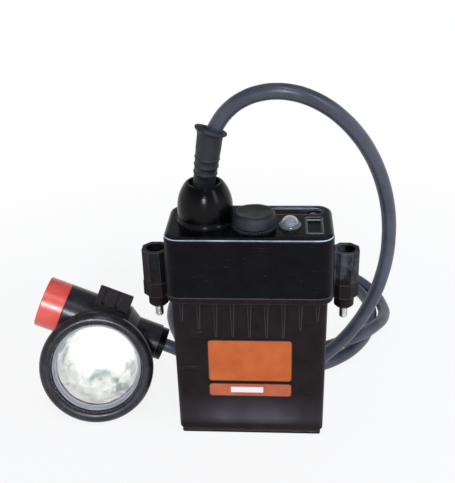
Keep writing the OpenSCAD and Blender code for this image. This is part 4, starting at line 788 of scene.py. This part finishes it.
# %% Finishes: tempered glass and acrylic
tempered_glass, tree, shader, place, soft = start_finish("tempered_glass", 0.2, IOR=1.5,
                                                         Transmission_Weight=1.0)
film = put(tree, "TexNoise", {"Vector": place, "Scale": per_mm(9), "Detail": 4.0})
hazy = put(tree, "MapRange", {"Value": film.outputs["Fac"], "From Min": 0.45, "From Max": 0.7,
                              "To Min": 0.0, "To Max": 0.05})
feed(shader, Roughness=hazy.outputs[0])
dress(tempered_glass, "head_lens")

cast_acrylic, tree, shader, place, soft = start_finish("cast_acrylic", 0.15, IOR=1.49,
                                                       Transmission_Weight=0.8,
                                                       Base_Color=to_linear("cdd2d9"))
film = put(tree, "TexNoise", {"Vector": place, "Scale": per_mm(3), "Detail": 3.0})
hazy = put(tree, "MapRange", {"Value": film.outputs["Fac"], "To Min": 0.04, "To Max": 0.16})
feed(shader, Roughness=hazy.outputs[0])
dress(cast_acrylic, "indicator_lens")

# %% Finish: evaporated aluminium
mirror, tree, shader, place, soft = start_finish("evaporated_aluminium", 0.1, Metallic=1.0)
# Painted reflections: grey and pale clouds of colour, and a dark painted reflection just below the emitter
cloud = put(tree, "TexNoise", {"Vector": place, "Scale": per_mm(15), "Detail": 3.0, "Distortion": 0.6})
tint = put(tree, "ValToRGB", {"Fac": cloud.outputs["Fac"]})
darkest, palest = tint.color_ramp.elements
darkest.position = 0.36
darkest.color = to_linear("9fa9aa")
palest.position = 0.66
palest.color = to_linear("dfe1dd")
tint.color_ramp.elements.new(0.5).color = to_linear("f0f2f3")
DARK_REFLECTION_RIGHT, DARK_REFLECTION_DOWN = 2, 16  # mm from the emitter's middle
low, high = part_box("main_emitter")
dark_reflection_at = (Vector(low) + Vector(high)) / 2 + Vector((DARK_REFLECTION_RIGHT * MM, 0, -DARK_REFLECTION_DOWN * MM))
from_dark_reflection = put(tree, "VectorMath", {0: place, 1: dark_reflection_at}, operation="DISTANCE")
stain_and_dark_reflection = put(tree, "MapRange", {"Value": from_dark_reflection.outputs["Value"], "From Min": 3 * MM, "From Max": 14 * MM,
                               "To Min": 0.85, "To Max": 0.0}, interpolation_type="SMOOTHSTEP")
shade = put(tree, "Mix", two_tones(stain_and_dark_reflection.outputs[0], tint.outputs["Color"], "77838a"), data_type="RGBA")
rough = put(tree, "MapRange", {"Value": cloud.outputs["Fac"], "To Min": 0.5, "To Max": 0.65})
ripple = put(tree, "TexNoise", {"Vector": place, "Scale": per_mm(8), "Detail": 1.0})
bump = put(tree, "Bump", {"Height": ripple.outputs["Fac"], "Strength": 0.6, "Distance": 1.0 * MM,
                          "Normal": soft})
feed(shader, Base_Color=shade.outputs[COLOUR_OUT], Roughness=rough.outputs[0], Normal=bump.outputs[0])
dress(mirror, "reflector")

# %% Finishes: glowing and milky resin
phosphor, tree, shader, place, soft = start_finish("phosphor_resin", 0.1, IOR=1.5, Roughness=0.3,
                                                   Emission_Strength=5.0)
speck = put(tree, "TexNoise", {"Vector": place, "Scale": per_mm(0.9), "Detail": 2.0})
tone = put(tree, "Mix", two_tones(speck.outputs["Fac"], "f7f5ea", "fffdf6"),
           data_type="RGBA").outputs[COLOUR_OUT]
feed(shader, Base_Color=tone, Emission_Color=tone)
dress(phosphor, "main_emitter")

milky, tree, shader, place, soft = start_finish("milky_resin", 0.1, IOR=1.5, Roughness=0.25,
                                                Subsurface_Weight=0.2, Subsurface_Scale=1.0 * MM)
speck = put(tree, "TexNoise", {"Vector": place, "Scale": per_mm(1.2), "Detail": 2.0})
shade = put(tree, "Mix", two_tones(speck.outputs["Fac"], "c9ccd0", "eef0f2"), data_type="RGBA")
feed(shader, Base_Color=shade.outputs[COLOUR_OUT])
dress(milky, "indicator_light")

# %% [markdown]
# ## Lens retainer
# The thin pale ring on the bezel's inner cone is made as a retainer for the lens, of frosted
# polycarbonate. That reading is a guess. It is bluish and a little milky, so it stays pale where the bezel
# round it is black, and its pale tone is partly painted light, standing for the cone where light falls on
# it. The same lathe turns it, about the light's axis.

# %% Finish: frosted polycarbonate
frosted, tree, shader, place, soft = start_finish("frosted_polycarbonate", 0.2, IOR=1.5,
                                                  Specular_IOR_Level=0.5,
                                                  Subsurface_Weight=0.15, Subsurface_Scale=0.8 * MM)
milk = put(tree, "TexNoise", {"Vector": place, "Scale": per_mm(7), "Detail": 4.0})
# The pale bluish tone is partly painted light on the bezel's inner cone
shade = put(tree, "Mix", two_tones(milk.outputs["Fac"], "767c86", "bcc3cc"), data_type="RGBA")
rough = put(tree, "MapRange", {"Value": milk.outputs["Fac"], "To Min": 0.2, "To Max": 0.5})
fine = put(tree, "TexNoise", {"Vector": place, "Scale": per_mm(0.6), "Detail": 2.0})
bump = put(tree, "Bump", {"Height": fine.outputs["Fac"], "Strength": 0.2, "Distance": 0.04 * MM,
                          "Normal": soft})
feed(shader, Base_Color=shade.outputs[COLOUR_OUT], Roughness=rough.outputs[0], Normal=bump.outputs[0])
print("finish", frosted.name)

# %% Lens retainer
# The outline ends where it begins, which closes the ring
retainer_outline = [(29.3, -2.9), (29.85, -2.9), (31.0, 0.7), (30.8, 1.0), (30.4, 0.9), (29.8, -1.0),
                    (29.3, -2.9)]
LIGHT_AXIS = HEAD @ Matrix.Rotation(math.radians(90), 4, "X")
retainer = lathe(bmesh.new(), retainer_outline, LIGHT_AXIS, around=120)
add_piece("lens_retainer", retainer, "lamp", frosted)

# %% [markdown]
# ## Inside the case
# Nobody sees these pieces until the cover comes off, but they are part of the lamp: cells in a shrunk blue
# wrap, cream polycarbonate for the holders and the switch's inside, and a green circuit board of woven
# glass cloth. The cloth's threads are far finer than the bands that stand for them here, which are about
# 3 mm apart.

# %% Finish: shrunk wrap
cell_wrap, tree, shader, place, soft = start_finish("shrunk_wrap", 0.2, IOR=1.5)
pull = put(tree, "Mapping", {"Vector": place, "Scale": (1, 1, 0.15)})
wrinkle = put(tree, "TexNoise", {"Vector": pull.outputs[0], "Scale": per_mm(2.5), "Detail": 3.0})
shade = put(tree, "Mix", two_tones(wrinkle.outputs["Fac"], "2f6fa8", "4389c2"), data_type="RGBA")
rough = put(tree, "MapRange", {"Value": wrinkle.outputs["Fac"], "To Min": 0.2, "To Max": 0.4})
bump = put(tree, "Bump", {"Height": wrinkle.outputs["Fac"], "Strength": 0.4, "Distance": 0.1 * MM,
                          "Normal": soft})
feed(shader, Base_Color=shade.outputs[COLOUR_OUT], Roughness=rough.outputs[0], Normal=bump.outputs[0])
dress(cell_wrap, "battery_cells")

# %% Finish: cream polycarbonate
cream_plastic, tree, shader, place, soft = start_finish("cream_polycarbonate", 0.3, IOR=1.5)
flow = put(tree, "TexNoise", {"Vector": place, "Scale": per_mm(8), "Detail": 4.0})
shade = put(tree, "Mix", two_tones(flow.outputs["Fac"], "cfcab9", "e2decf"), data_type="RGBA")
rough = put(tree, "MapRange", {"Value": flow.outputs["Fac"], "To Min": 0.35, "To Max": 0.55})
bump = put(tree, "Bump", {"Height": flow.outputs["Fac"], "Strength": 0.2, "Distance": 0.1 * MM,
                          "Normal": soft})
feed(shader, Base_Color=shade.outputs[COLOUR_OUT], Roughness=rough.outputs[0], Normal=bump.outputs[0])
dress(cream_plastic, "lower_cell_holder", "upper_cell_holder", "switch_rotor", "switch_contacts")

# %% Finish: glass cloth board
board, tree, shader, place, soft = start_finish("glass_cloth_board", 0.1, IOR=1.55)
WAVE_RADIANS = 20  # in a unit of a wave texture, so its bands are tau / 20 units apart, here tau * 0.5 mm
bands = {"Vector": place, "Scale": per_mm(0.5) / WAVE_RADIANS, "Distortion": 0.3}
weft = put(tree, "TexWave", bands, wave_type="BANDS", bands_direction="X")
warp = put(tree, "TexWave", bands, wave_type="BANDS", bands_direction="Y")
cloth = put(tree, "Math", {0: weft.outputs["Fac"], 1: warp.outputs["Fac"]}, operation="MAXIMUM")
shade = put(tree, "Mix", two_tones(cloth.outputs[0], "245a30", "37793f"), data_type="RGBA")
rough = put(tree, "MapRange", {"Value": cloth.outputs[0], "To Min": 0.25, "To Max": 0.4})
bump = put(tree, "Bump", {"Height": cloth.outputs[0], "Strength": 0.3, "Distance": 0.03 * MM, "Normal": soft})
feed(shader, Base_Color=shade.outputs[COLOUR_OUT], Roughness=rough.outputs[0], Normal=bump.outputs[0])
dress(board, "control_board")

# %% [markdown]
# ## Threads on the bolts
# Each bolt ends in 7.6 mm of free thread. A thread is one ridge that climbs in a helix, here 0.8 mm
# a turn as on a real 5 mm bolt. Mesh code sweeps the ridge's three corners along the helix.

# %% Threads on the bolts
THREAD_PITCH = 0.8
THREAD_LOW, THREAD_HIGH = 82.8, 90.4
THREAD_ROOT, THREAD_CREST = 2.46, 2.72  # radii
THREAD_HALF = 0.36  # half the ridge's foot
THREAD_STEPS = 24  # a turn
BOLT_OUT = 61.1  # from the middle to a bolt


def add_thread(name, x):
    """The thread of the bolt at x mm, fading in and out over half a turn."""
    mesh = bmesh.new()
    steps = int((THREAD_HIGH - THREAD_LOW) / THREAD_PITCH * THREAD_STEPS)
    rows = []
    for i in range(steps + 1):
        turn = math.tau * i / THREAD_STEPS
        middle = THREAD_LOW + THREAD_PITCH * i / THREAD_STEPS
        fade = min(1, i / (THREAD_STEPS / 2), (steps - i) / (THREAD_STEPS / 2))
        crest = THREAD_ROOT + (THREAD_CREST - THREAD_ROOT) * fade
        corners = [(THREAD_ROOT, -THREAD_HALF), (crest, 0), (THREAD_ROOT, THREAD_HALF)]
        rows.append([mesh.verts.new(Vector((x + r * math.cos(turn), r * math.sin(turn), middle + z)) * MM)
                     for r, z in corners])
    for low, high in zip(rows, rows[1:]):
        for k in range(3):
            mesh.faces.new((low[k], low[(k + 1) % 3], high[(k + 1) % 3], high[k]))
    mesh.faces.new(rows[0])
    mesh.faces.new(rows[-1][::-1])
    made = add_piece(name, mesh, "lamp", zinc_plate)
    made.data.shade_flat()


add_thread("bolt_thread_left", -BOLT_OUT)
add_thread("bolt_thread_right", BOLT_OUT)

# %% The dressed lamp's size
low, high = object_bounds()
print(f"dressed lamp: {(high - low)[0]:.3f} x {(high - low)[1]:.3f} x {(high - low)[2]:.3f} m")
